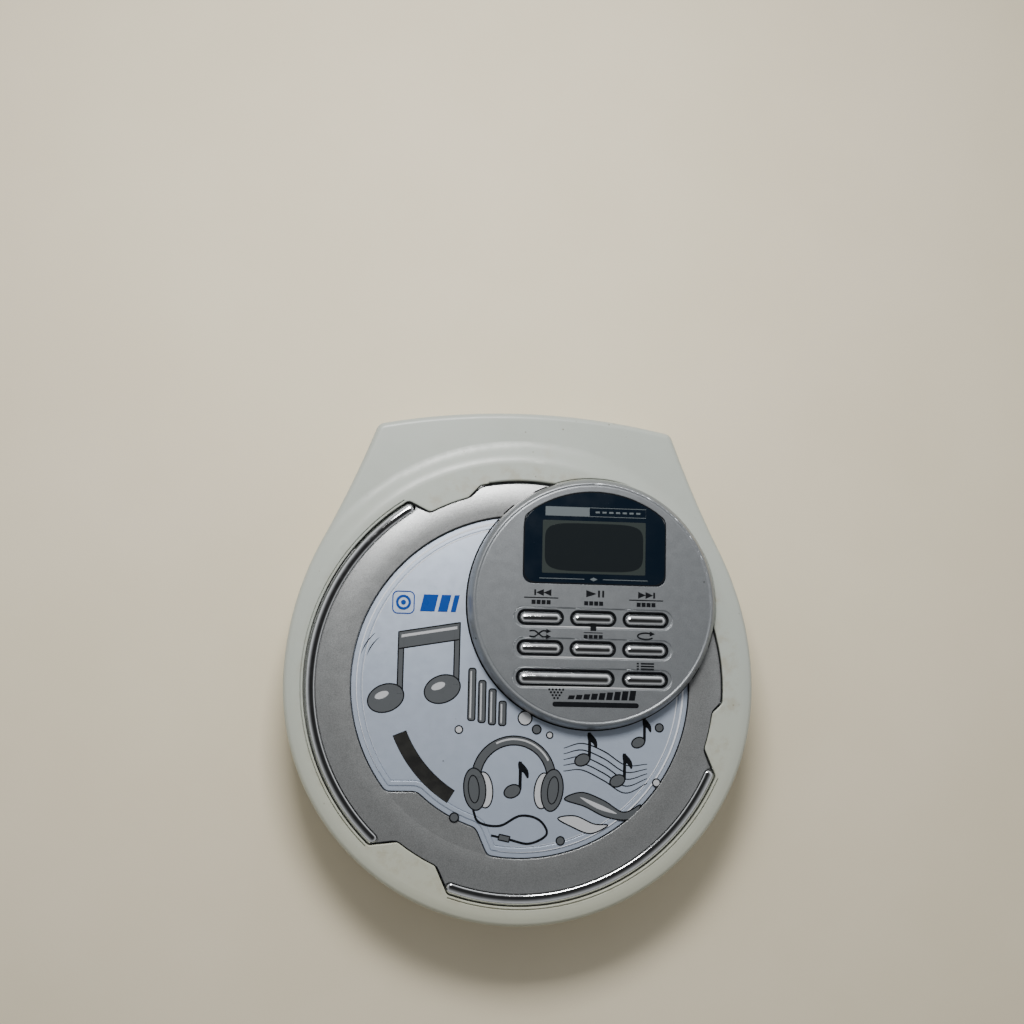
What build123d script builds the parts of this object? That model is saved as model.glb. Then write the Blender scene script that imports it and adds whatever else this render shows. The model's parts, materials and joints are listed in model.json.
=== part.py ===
from build123d import *
import os
from math import cos, degrees, hypot, radians, sin

# A portable CD player lying flat on its feet, in millimetres.
# +Z is up, +Y points to the hinge end, and the disc turns about the Z axis.
# The origin is where the disc's axis meets the table.

os.makedirs("parts", exist_ok=True)

# ---------------------------------------------------------------- driving dimensions

# Heights above the table
CASE_BOTTOM = 1.2
FLOOR = 3.0
BOARD_BOTTOM = 5.0
BOARD_TOP = 6.2
JACK_AXIS = 9.4
DECK_BOTTOM = 10.0
DECK_TOP = 11.2
ROD_AXIS = 13.4
SPLIT = 13.5
WELL_BOTTOM = 18.0
WELL_FLOOR = 19.2
DISC_SEAT = 20.9
LEDGE_BOTTOM = 22.4
LEDGE = 24.0
INNER_BOTTOM = 24.4
INNER_TOP = 25.4
CEILING = 24.6
SHELF_TOP = 26.2
LABEL_TOP = 27.35
LID_TOP = 28.0
POD_TOP = 32.8

# Plan radii about the disc axis
CASE_R = 75.4
SEAM_R = 69.0
POD_SECTOR_R = 65.3
NOTCH_R = 62.3
WELL_R = 61.5
RECESS_R = 54.45
BULGE_R = 47.1
RELIEF_R = 65.75

# The case's flanks and rear
FLANK_R = 100.0
FLANK_ANGLE = 27.0
HOLLOW_R = 358.0
REAR_Y = 88.3
REAR_R = 227.5

# Walls and gaps
WALL = 2.0
SEAM_GAP = 0.2
SKIN = 1.4

# The control pod
POD_X = 22.14
POD_Y = 26.54
POD_R = 40.2
BEAD_R = 38.35

# The lid's hinge
HINGE_Y = 71.5
HINGE_Z = 22.0
ARM_X = 35.0
ARM_WIDTH = 4.0
ARM_INNER_R = 17.5
ARM_OUTER_R = 20.3
PIN_R = 1.0

# Controls on the pod
COLUMN = (5.15, 22.05, 39.0)
ROW = (21.55, 11.9, 2.5)
PILL_LENGTH = 14.3
PILL_HEIGHT = 4.45
LONG_PILL_X = 13.4
LONG_PILL_LENGTH = 31.0
BUTTON_GAP = 0.4

# The battery bay
BAY_HALF_X = 29.25
BAY_FRONT = 46.5
BAY_BACK = 79.5
BAY_TOP = 17.6

# The disc mechanism
MOTOR_R = 10.0
SHAFT_R = 1.0
ROD_Y = 15.0
DAMPER_SPOTS = ((12, 20.5), (12, -20.5), (-56, 20.5), (-56, -20.5))

# Sockets
POWER_X = -41.5

# Fixings
SCREW_SPOTS = ((-55.7, -39.0), (55.7, -39.0), (-45.6, 66.0), (45.6, 66.0))
BOARD_SPOTS = ((-30, -48), (30, -48), (30, 34), (-30, 34))
FOOT_SPOTS = ((-42, -46), (42, -46), (-42, 56), (42, 56))

# The lid's outline: angle in degrees, radius
SEAM_KNOTS = [
    (-3.8, POD_SECTOR_R),
    (102.9, POD_SECTOR_R),
    (107.1, NOTCH_R),
    (119.3, NOTCH_R),
    (123.0, SEAM_R),
    (227.1, SEAM_R),
    (232.5, NOTCH_R),
    (245.4, NOTCH_R),
    (251.5, SEAM_R),
    (336.3, SEAM_R),
    (342.3, NOTCH_R),
    (353.1, NOTCH_R),
]

# Each trim strip's start and sweep, in degrees
TRIM_ARCS = ((124.0, 102.6), (251.8, 84.2))

# The edge of the label's recess, which one bulge of the ring reaches into
RECESS_KNOTS = [
    (-100.5, RECESS_R),
    (219.0, RECESS_R),
    (226.5, BULGE_R),
    (253.0, BULGE_R),
]


# ---------------------------------------------------------------- helpers


def at(height):
    """The level plane at a height above the table."""
    return Plane.XY.offset(height)


def polar(radius, angle):
    """A point in plan, from its radius and its angle in degrees."""
    return (radius * cos(radians(angle)), radius * sin(radians(angle)))


def finish(piece, name):
    """Label a finished piece and write it to its own file."""
    piece.part.label = name
    export_step(piece.part, f"parts/{name}.step")


def case_corner(inset):
    """Where the hollow of the flank meets the rear arc, both moved inwards by inset."""
    reach = FLANK_R + HOLLOW_R
    hollow_centre = Vector(CASE_R - FLANK_R, 0) + Vector(*polar(reach, FLANK_ANGLE))
    rear_centre = Vector(0, REAR_Y - REAR_R)
    hollow_radius = HOLLOW_R + inset
    rear_radius = REAR_R - inset
    across = hollow_centre - rear_centre
    along = (across.length**2 + rear_radius**2 - hollow_radius**2) / (2 * across.length)
    aside = (rear_radius**2 - along**2) ** 0.5
    towards = across.normalized()
    return rear_centre + towards * along + Vector(-towards.Y, towards.X) * aside


def case_outline(inset):
    """The case in plan: a round front whose flanks sweep out into two rear corners."""
    corner = case_corner(inset)
    with BuildSketch() as plan:
        with BuildLine():
            flank = CenterArc((CASE_R - FLANK_R, 0), FLANK_R - inset, 0, FLANK_ANGLE)
            TangentArc(flank @ 1, corner, tangent=flank % 1)
            mirror(about=Plane.YZ)
            CenterArc((0, 0), CASE_R - inset, 180, 180)
            ThreePointArc(corner, (0, REAR_Y - inset), (-corner.X, corner.Y))
        make_face()
        fillet(plan.vertices().group_by(Axis.Y)[-1], radius=3.2 - inset)
    return plan.sketch


def ring_outline(knots, corner, grow):
    """A closed outline about the disc axis: arcs where the radius holds, ramps between."""
    closing = (knots[0][0] + 360, knots[0][1])
    with BuildSketch() as plan:
        with BuildLine():
            for (angle, radius), (next_angle, next_radius) in zip(knots, knots[1:] + [closing]):
                if radius == next_radius:
                    CenterArc((0, 0), radius, angle, next_angle - angle)
                else:
                    Line(polar(radius, angle), polar(next_radius, next_angle))
        make_face()
        fillet(plan.vertices(), radius=corner)
        if grow:
            offset(amount=grow)
    return plan.sketch


def seam_outline(grow):
    """The lid's outline, grown or shrunk by a gap or a wall."""
    return ring_outline(SEAM_KNOTS, 1.8, grow)


def recess_outline(grow):
    """The edge of the label's recess, grown or shrunk."""
    return ring_outline(RECESS_KNOTS, 3.0, grow)


def rear_relief():
    """Room behind the lid's rear edge, which swings back towards the hinge as it rises."""
    with BuildPart() as relief:
        with BuildSketch(Plane.XZ):
            with BuildLine():
                Polyline(
                    (60, LEDGE),
                    (RELIEF_R, LEDGE),
                    (RELIEF_R, LID_TOP - 0.4),
                    (RELIEF_R + 0.9, LID_TOP + 0.5),
                    (60, LID_TOP + 0.5),
                    close=True,
                )
            make_face()
        revolve(axis=Axis.Z)
        with BuildSketch(at(LEDGE - 1)):
            with Locations((12, 67)):
                Rectangle(48, 22)
        extrude(amount=LID_TOP, mode=Mode.INTERSECT)
    return relief.part


# ---------------------------------------------------------------- case

with BuildPart() as upper_case:
    with BuildSketch(at(SPLIT)):
        add(case_outline(0))
    extrude(amount=LID_TOP + 2 - SPLIT)
    # The round top stands a soft step above the rear shelf.
    with BuildSketch(Plane.XZ):
        with BuildLine():
            Line((0, 0), (110, 0))
            Line((110, 0), (110, SHELF_TOP))
            Line((110, SHELF_TOP), (79, SHELF_TOP))
            Spline((79, SHELF_TOP), (71.5, LID_TOP), tangents=((-1, 0), (-1, 0)))
            Line((71.5, LID_TOP), (0, LID_TOP))
            Line((0, LID_TOP), (0, 0))
        make_face()
    revolve(axis=Axis.Z, mode=Mode.INTERSECT)
    side_faces = upper_case.faces().filter_by(lambda face: abs(face.normal_at().Z) < 0.01)
    fillet(side_faces.edges().filter_by(lambda edge: edge.center().Z > CEILING), radius=1.8)
    # Hollow below the ledge, and between the lid's pocket and the outer wall
    with BuildSketch(at(SPLIT)):
        add(case_outline(WALL))
    extrude(amount=LEDGE_BOTTOM - SPLIT, mode=Mode.SUBTRACT)
    with BuildSketch(at(LEDGE_BOTTOM)):
        add(case_outline(WALL))
        add(seam_outline(1.7), mode=Mode.SUBTRACT)
    extrude(amount=CEILING - LEDGE_BOTTOM, mode=Mode.SUBTRACT)
    # The lid's pocket, the well's mouth and the shallow seat under the pod
    with BuildSketch(at(LEDGE)):
        add(seam_outline(SEAM_GAP))
    extrude(amount=LID_TOP, mode=Mode.SUBTRACT)
    pocket_rims = upper_case.edges().group_by(Axis.Z)[-1]
    pocket_rims = pocket_rims.filter_by(lambda edge: hypot(edge.center().X, edge.center().Y) < SEAM_R + 1)
    fillet(pocket_rims, radius=0.3)
    add(rear_relief(), mode=Mode.SUBTRACT)
    with BuildSketch(at(SPLIT)):
        Circle(WELL_R)
    extrude(amount=LID_TOP, mode=Mode.SUBTRACT)
    with BuildSketch(at(LID_TOP - 0.4)):
        with Locations((POD_X, POD_Y)):
            Circle(POD_R + 0.6)
    extrude(amount=2, mode=Mode.SUBTRACT)
    # A fine groove leaves a thin bead of case beside each trim strip.
    for start, sweep_angle in TRIM_ARCS:
        with BuildSketch(at(LID_TOP - 0.5)):
            SlotArc(CenterArc((0, 0), SEAM_R + 0.95, start, sweep_angle), 0.3)
        extrude(amount=2, mode=Mode.SUBTRACT)
    # Slots for the hinge arms; the right one is hidden by the pod
    for side in (-1, 1):
        with BuildSketch(at(LEDGE_BOTTOM - 1)):
            with Locations((side * ARM_X, 61)):
                Rectangle(5.2, 24)
        extrude(amount=CEILING - LEDGE_BOTTOM + 1, mode=Mode.SUBTRACT)
    with BuildSketch(at(LEDGE)):
        with Locations((ARM_X, 53.2)):
            Rectangle(5.2, 6.2)
    extrude(amount=LID_TOP, mode=Mode.SUBTRACT)
    # Slot for the lid's catch
    with BuildSketch(at(LEDGE_BOTTOM - 1)):
        with Locations((0, -64.6)):
            Rectangle(9, 7)
    extrude(amount=4, mode=Mode.SUBTRACT)
    # Hinge brackets
    for bracket_x in (-38.0, -32.0, 32.0, 38.0):
        with BuildSketch(Plane.YZ.offset(bracket_x - 0.6)):
            with BuildLine():
                Line((68.5, CEILING), (68.5, HINGE_Z))
                ThreePointArc((68.5, HINGE_Z), (HINGE_Y, HINGE_Z - 3), (74.5, HINGE_Z))
                Line((74.5, HINGE_Z), (74.5, CEILING))
                Line((74.5, CEILING), (68.5, CEILING))
            make_face()
            with Locations((HINGE_Y, HINGE_Z)):
                Circle(PIN_R, mode=Mode.SUBTRACT)
        extrude(amount=1.2)
    # Screw posts with pilot holes
    with BuildSketch(at(SPLIT)):
        with Locations(*SCREW_SPOTS[:2]):
            Circle(3.2)
    extrude(amount=LEDGE_BOTTOM + 0.6 - SPLIT)
    with BuildSketch(at(SPLIT)):
        with Locations(*SCREW_SPOTS[2:]):
            Circle(3.2)
    extrude(amount=CEILING + 0.2 - SPLIT)
    with BuildSketch(at(SPLIT)):
        with Locations(*SCREW_SPOTS):
            Circle(1.1)
    extrude(amount=8, mode=Mode.SUBTRACT)
finish(upper_case, "upper_case")

with BuildPart() as lower_case:
    with BuildSketch(at(CASE_BOTTOM)):
        add(case_outline(0.25))
    extrude(amount=SPLIT - CASE_BOTTOM)
    fillet(lower_case.edges().group_by(Axis.Z)[0], radius=2.8)
    with BuildSketch(at(FLOOR)):
        add(case_outline(WALL))
    extrude(amount=SPLIT - FLOOR, mode=Mode.SUBTRACT)
    # Walls of the battery bay
    with BuildSketch(at(FLOOR)):
        with Locations((0, (BAY_FRONT + BAY_BACK) / 2)):
            Rectangle(2 * BAY_HALF_X + 5, BAY_BACK - BAY_FRONT + 2.4)
            Rectangle(2 * BAY_HALF_X + 2.6, BAY_BACK - BAY_FRONT, mode=Mode.SUBTRACT)
    extrude(amount=BAY_TOP - FLOOR)
    # The bay's opening runs out under the rear wall, so the door can slide back.
    with BuildSketch(at(0)):
        with Locations((0, BAY_FRONT + 25)):
            Rectangle(2 * BAY_HALF_X, 50)
    extrude(amount=FLOOR + 0.1, mode=Mode.SUBTRACT)
    # Room for the door's side lips
    with BuildSketch(at(FLOOR)):
        with Locations((0, BAY_FRONT + 18)):
            Rectangle(2 * BAY_HALF_X + 2.8, 36)
    extrude(amount=1.4, mode=Mode.SUBTRACT)
    # Screw posts, counterbored from below
    with BuildSketch(at(FLOOR - 0.5)):
        with Locations(*SCREW_SPOTS):
            Circle(4.2)
    extrude(amount=SPLIT - FLOOR + 0.5)
    with Locations(*[Pos(x, y, CASE_BOTTOM) * Rot(180, 0, 0) for x, y in SCREW_SPOTS]):
        CounterBoreHole(radius=1.4, counter_bore_radius=2.8, counter_bore_depth=5.8, depth=14)
    # Standoffs under the main board, and posts under the mechanism's dampers
    with BuildSketch(at(FLOOR - 0.2)):
        with Locations(*BOARD_SPOTS):
            Circle(2.6)
            Circle(0.9, mode=Mode.SUBTRACT)
    extrude(amount=BOARD_BOTTOM - FLOOR + 0.2)
    with BuildSketch(at(FLOOR - 0.2)):
        with Locations(*DAMPER_SPOTS):
            Circle(2.2)
    extrude(amount=DECK_BOTTOM - 2 - FLOOR + 0.2)
    # Guide posts either side of the open button
    with BuildSketch(at(FLOOR - 0.2)):
        with Locations((-10.6, -68.5), (10.6, -68.5)):
            Rectangle(1.2, 7)
    extrude(amount=SPLIT - FLOOR)
    # Stop that the latch spring pushes against
    with BuildSketch(at(FLOOR - 0.2)):
        with Locations((0, -57.6)):
            Rectangle(5, 1.4)
    extrude(amount=JACK_AXIS + 3 - FLOOR)
    # Headphone jack in the right side wall
    with BuildSketch(Plane.YZ.offset(CASE_R - 6)):
        with Locations((-10, JACK_AXIS)):
            Circle(3.1)
    extrude(amount=8, mode=Mode.SUBTRACT)
    # Power jack in the rear wall
    with BuildSketch(Plane.XZ.offset(-90)):
        with Locations((POWER_X, JACK_AXIS)):
            Circle(3.3)
    extrude(amount=12, mode=Mode.SUBTRACT)
    # Thumb scoop and slot for the volume wheel
    with BuildSketch(at(JACK_AXIS - 2.6)):
        with Locations((CASE_R + 14.4, 14)):
            Circle(16)
    extrude(amount=5.6, mode=Mode.SUBTRACT)
    with BuildSketch(at(JACK_AXIS - 2.0)):
        with Locations((CASE_R - 4, 14)):
            Rectangle(12, 15)
    extrude(amount=4.4, mode=Mode.SUBTRACT)
    # Recess and slot for the hold knob
    with BuildSketch(Plane.YZ.offset(-CASE_R - 1)):
        with Locations((0, JACK_AXIS - 1)):
            SlotOverall(14, 4.6)
    extrude(amount=2.1, mode=Mode.SUBTRACT)
    with BuildSketch(Plane.YZ.offset(-CASE_R - 1)):
        with Locations((0, JACK_AXIS - 1)):
            Rectangle(9.2, 2.4)
    extrude(amount=5, mode=Mode.SUBTRACT)
    # Window for the open button
    with BuildSketch(Plane.XZ.offset(CASE_R - 6)):
        with Locations((0, JACK_AXIS + 0.6)):
            RectangleRounded(17, 4.6, 1.2)
    extrude(amount=8, mode=Mode.SUBTRACT)
finish(lower_case, "lower_case")

with BuildPart() as battery_door:
    with BuildSketch(at(CASE_BOTTOM)):
        add(case_outline(0.25))
    extrude(amount=SPLIT - CASE_BOTTOM)
    fillet(battery_door.edges().group_by(Axis.Z)[0], radius=2.8)
    with BuildSketch(at(0)):
        with Locations((0, BAY_FRONT + 25.25)):
            Rectangle(2 * BAY_HALF_X - 0.5, 50)
    extrude(amount=FLOOR - 0.2, mode=Mode.INTERSECT)
    # Side lips that slide over the case's floor
    with BuildSketch(at(FLOOR - 0.3)):
        with GridLocations(2 * BAY_HALF_X - 2.1, 0, 2, 1):
            with Locations((0, BAY_FRONT + 12)):
                Rectangle(1.2, 20)
    extrude(amount=1.4)
    with BuildSketch(at(FLOOR + 0.3)):
        with GridLocations(2 * BAY_HALF_X - 0.6, 0, 2, 1):
            with Locations((0, BAY_FRONT + 12)):
                Rectangle(2.6, 20)
    extrude(amount=0.8)
    # Grip ribs for the thumb
    with BuildSketch(at(CASE_BOTTOM)):
        with Locations((0, 56)):
            with GridLocations(0, 2.0, 1, 6):
                SlotOverall(18, 0.9)
    extrude(amount=0.5, mode=Mode.SUBTRACT)
finish(battery_door, "battery_door")

with BuildPart() as feet:
    with BuildSketch(at(0)):
        with Locations(*FOOT_SPOTS):
            Circle(5)
    extrude(amount=CASE_BOTTOM)
    fillet(feet.edges().group_by(Axis.Z)[0], radius=0.4)
finish(feet, "feet")

with BuildPart() as case_screws:
    with BuildSketch(at(CASE_BOTTOM + 3.9)):
        with Locations(*SCREW_SPOTS):
            Circle(2.4)
    extrude(amount=1.9)
    with BuildSketch(at(CASE_BOTTOM + 5.7)):
        with Locations(*SCREW_SPOTS):
            Circle(1.0)
    extrude(amount=12)
    with BuildSketch(at(CASE_BOTTOM + 3.9)):
        with Locations(*SCREW_SPOTS):
            Rectangle(2.6, 0.6)
            Rectangle(0.6, 2.6)
    extrude(amount=1, mode=Mode.SUBTRACT)
finish(case_screws, "case_screws")

with BuildPart() as hinge_pins:
    for pin_x in (-ARM_X, ARM_X):
        with BuildSketch(Plane.YZ.offset(pin_x - 3.6)):
            with Locations((HINGE_Y, HINGE_Z)):
                Circle(PIN_R)
        extrude(amount=7.2)
finish(hinge_pins, "hinge_pins")

with BuildPart() as disc_well:
    with BuildSketch(at(WELL_BOTTOM)):
        Circle(WELL_R + 1.5)
    extrude(amount=LEDGE_BOTTOM - WELL_BOTTOM)
    with BuildSketch(at(WELL_FLOOR)):
        Circle(WELL_R)
    extrude(amount=LEDGE_BOTTOM, mode=Mode.SUBTRACT)
    fillet(disc_well.edges().filter_by(GeomType.CIRCLE).group_by(Axis.Z)[1], radius=1.0)
    # Round opening for the turntable, and the slot that the pickup travels in
    with BuildSketch(at(WELL_BOTTOM - 1)):
        Circle(16.5)
        with Locations((-36, 0)):
            RectangleRounded(52, 22, 4)
    extrude(amount=4, mode=Mode.SUBTRACT)
    # Clearance for the hinge arms and for the latch hook
    with BuildSketch(at(WELL_BOTTOM - 1)):
        with Locations((-ARM_X, 53.4), (ARM_X, 53.4)):
            Rectangle(5.2, 5.2)
        with Locations((0, -62.5)):
            Rectangle(9, 4)
    extrude(amount=8, mode=Mode.SUBTRACT)
finish(disc_well, "disc_well")

# ---------------------------------------------------------------- lid

with BuildPart() as lid_ring:
    with BuildSketch(at(INNER_BOTTOM)):
        add(seam_outline(-SEAM_GAP))
        add(recess_outline(0), mode=Mode.SUBTRACT)
    extrude(amount=LID_TOP + 1 - INNER_BOTTOM)
    # The top is gently crowned and falls to the trim channel.
    with BuildSketch(Plane.XZ):
        with BuildLine():
            Line((0, 0), (80, 0))
            Line((80, 0), (80, LID_TOP - 0.3))
            Line((80, LID_TOP - 0.3), (65.2, LID_TOP - 0.3))
            ThreePointArc((65.2, LID_TOP - 0.3), (59.6, LID_TOP + 0.1), (54, LID_TOP - 0.4))
            Line((54, LID_TOP - 0.4), (45, LID_TOP - 1.0))
            Line((45, LID_TOP - 1.0), (0, LID_TOP - 1.0))
            Line((0, LID_TOP - 1.0), (0, 0))
        make_face()
    revolve(axis=Axis.Z, mode=Mode.INTERSECT)
    # Hollow underneath, between the outer skirt and the wall round the label
    with BuildSketch(at(INNER_BOTTOM)):
        add(seam_outline(-SEAM_GAP - SKIN))
    extrude(amount=INNER_TOP - INNER_BOTTOM, mode=Mode.SUBTRACT)
    with BuildSketch(at(INNER_TOP)):
        add(seam_outline(-SEAM_GAP - SKIN))
        add(recess_outline(SKIN), mode=Mode.SUBTRACT)
    extrude(amount=0.7, mode=Mode.SUBTRACT)
    # At the rear only a thin lip is left, so that the edge swings clear of the case.
    with BuildSketch(at(INNER_BOTTOM - 1)):
        with Locations((0, 60)):
            Rectangle(150, 36)
        add(seam_outline(-SEAM_GAP - 1.6), mode=Mode.SUBTRACT)
    extrude(amount=LID_TOP - 0.95 - INNER_BOTTOM + 1, mode=Mode.SUBTRACT)
    # Channels for the two trim strips
    with BuildSketch(at(LID_TOP - 1.1)):
        for start, sweep_angle in TRIM_ARCS:
            SlotArc(CenterArc((0, 0), 67.6, start, sweep_angle), 5.0)
    extrude(amount=3, mode=Mode.SUBTRACT)
finish(lid_ring, "lid_ring")

for name, (start, sweep_angle) in zip(("chrome_strip_left", "chrome_strip_front"), TRIM_ARCS):
    with BuildPart() as chrome_strip:
        with BuildSketch(at(LID_TOP - 1.1)):
            SlotArc(CenterArc((0, 0), 66.95, start, sweep_angle), 3.2)
        extrude(amount=1.15)
        fillet(chrome_strip.edges().group_by(Axis.Z)[-1], radius=1.1)
    finish(chrome_strip, name)

with BuildPart() as lid_inner:
    with BuildSketch(at(INNER_BOTTOM)):
        add(seam_outline(-SEAM_GAP - SKIN - 0.15))
    extrude(amount=INNER_TOP - INNER_BOTTOM)
    # Raised seat over the hub, and circular walls that carry the label
    with BuildSketch(at(INNER_BOTTOM)):
        Circle(10)
    extrude(amount=0.6, mode=Mode.SUBTRACT)
    with BuildSketch(at(INNER_TOP)):
        add(recess_outline(-1.0))
        add(recess_outline(-2.2), mode=Mode.SUBTRACT)
        Circle(24)
        Circle(22.8, mode=Mode.SUBTRACT)
    extrude(amount=0.8)
    # Sight slot under the window
    with BuildSketch(at(INNER_BOTTOM - 1)):
        Circle(43.8)
        Circle(39.2, mode=Mode.SUBTRACT)
        with BuildLine():
            Line((0, 0), polar(60, -157.5))
            Line(polar(60, -157.5), polar(60, -121.3))
            Line(polar(60, -121.3), (0, 0))
        make_face(mode=Mode.INTERSECT)
    extrude(amount=4, mode=Mode.SUBTRACT)
finish(lid_inner, "lid_inner")


def window_outline(gap):
    """The arc-shaped sight slot in plan, shrunk by a gap."""
    middle = (39.2 + 43.8) / 2
    half_width = (43.8 - 39.2) / 2 - gap
    edge = degrees(gap / middle)
    with BuildSketch() as plan:
        with BuildLine():
            outer = CenterArc((0, 0), middle + half_width, -157.5 + edge, 36.2 - 2 * edge)
            inner = CenterArc((0, 0), middle - half_width, -157.5 + edge, 36.2 - 2 * edge)
            Line(outer @ 0, inner @ 0)
            Line(outer @ 1, inner @ 1)
        make_face()
    return plan.sketch


with BuildPart() as lid_label:
    with BuildSketch(at(LID_TOP - 1.8)):
        add(recess_outline(-0.15))
    extrude(amount=0.8)
    with BuildSketch(at(LABEL_TOP - 0.35)):
        add(recess_outline(-1.9))
    extrude(amount=0.35)
    chamfer(lid_label.edges().group_by(Axis.Z)[-1], length=0.3)
    # Fine groove that frames the print
    with BuildSketch(at(LABEL_TOP - 0.15)):
        add(recess_outline(-3.4))
        add(recess_outline(-3.7), mode=Mode.SUBTRACT)
    extrude(amount=1, mode=Mode.SUBTRACT)
    with BuildSketch(at(LID_TOP - 3)):
        add(window_outline(0))
    extrude(amount=4, mode=Mode.SUBTRACT)
finish(lid_label, "lid_label")

with BuildPart() as lid_window:
    with BuildSketch(at(LID_TOP - 1.7)):
        add(window_outline(0.05))
    extrude(amount=0.8)
finish(lid_window, "lid_window")

ARM_TOP_ANGLE = 168.0
ARM_END_ANGLE = 236.0


def arm_point(radius, angle):
    """A point of the hinge arm's side view, as seen from the hinge axis."""
    along, up = polar(radius, angle)
    return (HINGE_Y + along, HINGE_Z + up)


for name, arm_x in (("hinge_arm_left", -ARM_X), ("hinge_arm_right", ARM_X)):
    with BuildPart() as hinge_arm:
        with BuildSketch(Plane.YZ.offset(arm_x - ARM_WIDTH / 2)):
            # The bow passes below the rim's edge as the lid swings up.
            with BuildLine():
                middle_angle = (ARM_TOP_ANGLE + ARM_END_ANGLE) / 2
                inner_ends = (ARM_INNER_R, ARM_TOP_ANGLE), (ARM_INNER_R, middle_angle)
                ThreePointArc(
                    arm_point(*inner_ends[0]),
                    arm_point(*inner_ends[1]),
                    arm_point(ARM_INNER_R, ARM_END_ANGLE),
                )
                Line(arm_point(ARM_INNER_R, ARM_END_ANGLE), arm_point(ARM_OUTER_R, ARM_END_ANGLE))
                ThreePointArc(
                    arm_point(ARM_OUTER_R, ARM_END_ANGLE),
                    arm_point(ARM_OUTER_R, middle_angle),
                    arm_point(ARM_OUTER_R, ARM_TOP_ANGLE),
                )
                Line(arm_point(ARM_OUTER_R, ARM_TOP_ANGLE), arm_point(ARM_INNER_R, ARM_TOP_ANGLE))
            make_face()
            # Spoke back to the hub
            with BuildLine():
                Line(arm_point(2.0, ARM_END_ANGLE - 70), arm_point(18.5, ARM_END_ANGLE - 6.6))
                Line(arm_point(18.5, ARM_END_ANGLE - 6.6), arm_point(20.0, ARM_END_ANGLE))
                Line(arm_point(20.0, ARM_END_ANGLE), arm_point(2.0, ARM_END_ANGLE + 70))
                Line(arm_point(2.0, ARM_END_ANGLE + 70), arm_point(2.0, ARM_END_ANGLE - 70))
            make_face()
            with Locations((HINGE_Y, HINGE_Z)):
                Circle(2.3)
                Circle(PIN_R + 0.06, mode=Mode.SUBTRACT)
        extrude(amount=ARM_WIDTH)
        # Foot under the inner lid
        with BuildSketch(at(INNER_BOTTOM - 1.4)):
            with Locations((arm_x, 51.6)):
                Rectangle(ARM_WIDTH, 4.4)
        extrude(amount=1.4)
        split(bisect_by=at(INNER_BOTTOM), keep=Keep.BOTTOM)
    finish(hinge_arm, name)

with BuildPart() as lid_catch:
    with BuildSketch(Plane.YZ.offset(-3)):
        with BuildLine():
            Polyline(
                (-67.1, INNER_BOTTOM),
                (-67.1, 20.6),
                (-65.2, 20.6),
                (-65.2, 21.2),
                (-66.1, 21.8),
                (-66.1, INNER_BOTTOM - 1),
                (-65.1, INNER_BOTTOM),
                close=True,
            )
        make_face()
    extrude(amount=6)
finish(lid_catch, "lid_catch")

# ---------------------------------------------------------------- control pod

pod_axis = Axis((POD_X, POD_Y, 0), (0, 0, 1))
pod_plane = Plane(origin=(POD_X, POD_Y, 0), x_dir=(1, 0, 0), z_dir=(0, -1, 0))


def clear_of_lid():
    """Everything below the pod's underside, which follows the label, the ring and the case."""
    with BuildPart() as below:
        with BuildSketch(Plane.XZ):
            with BuildLine():
                Polyline(
                    (0, 20),
                    (0, LID_TOP - 0.6),
                    (RECESS_R, LID_TOP - 0.6),
                    (RECESS_R, LID_TOP + 0.12),
                    (65.2, LID_TOP + 0.12),
                    (65.2, LID_TOP - 0.1),
                    (100, LID_TOP - 0.1),
                    (100, 20),
                    close=True,
                )
            make_face()
        revolve(axis=Axis.Z)
    return below.part


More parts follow.
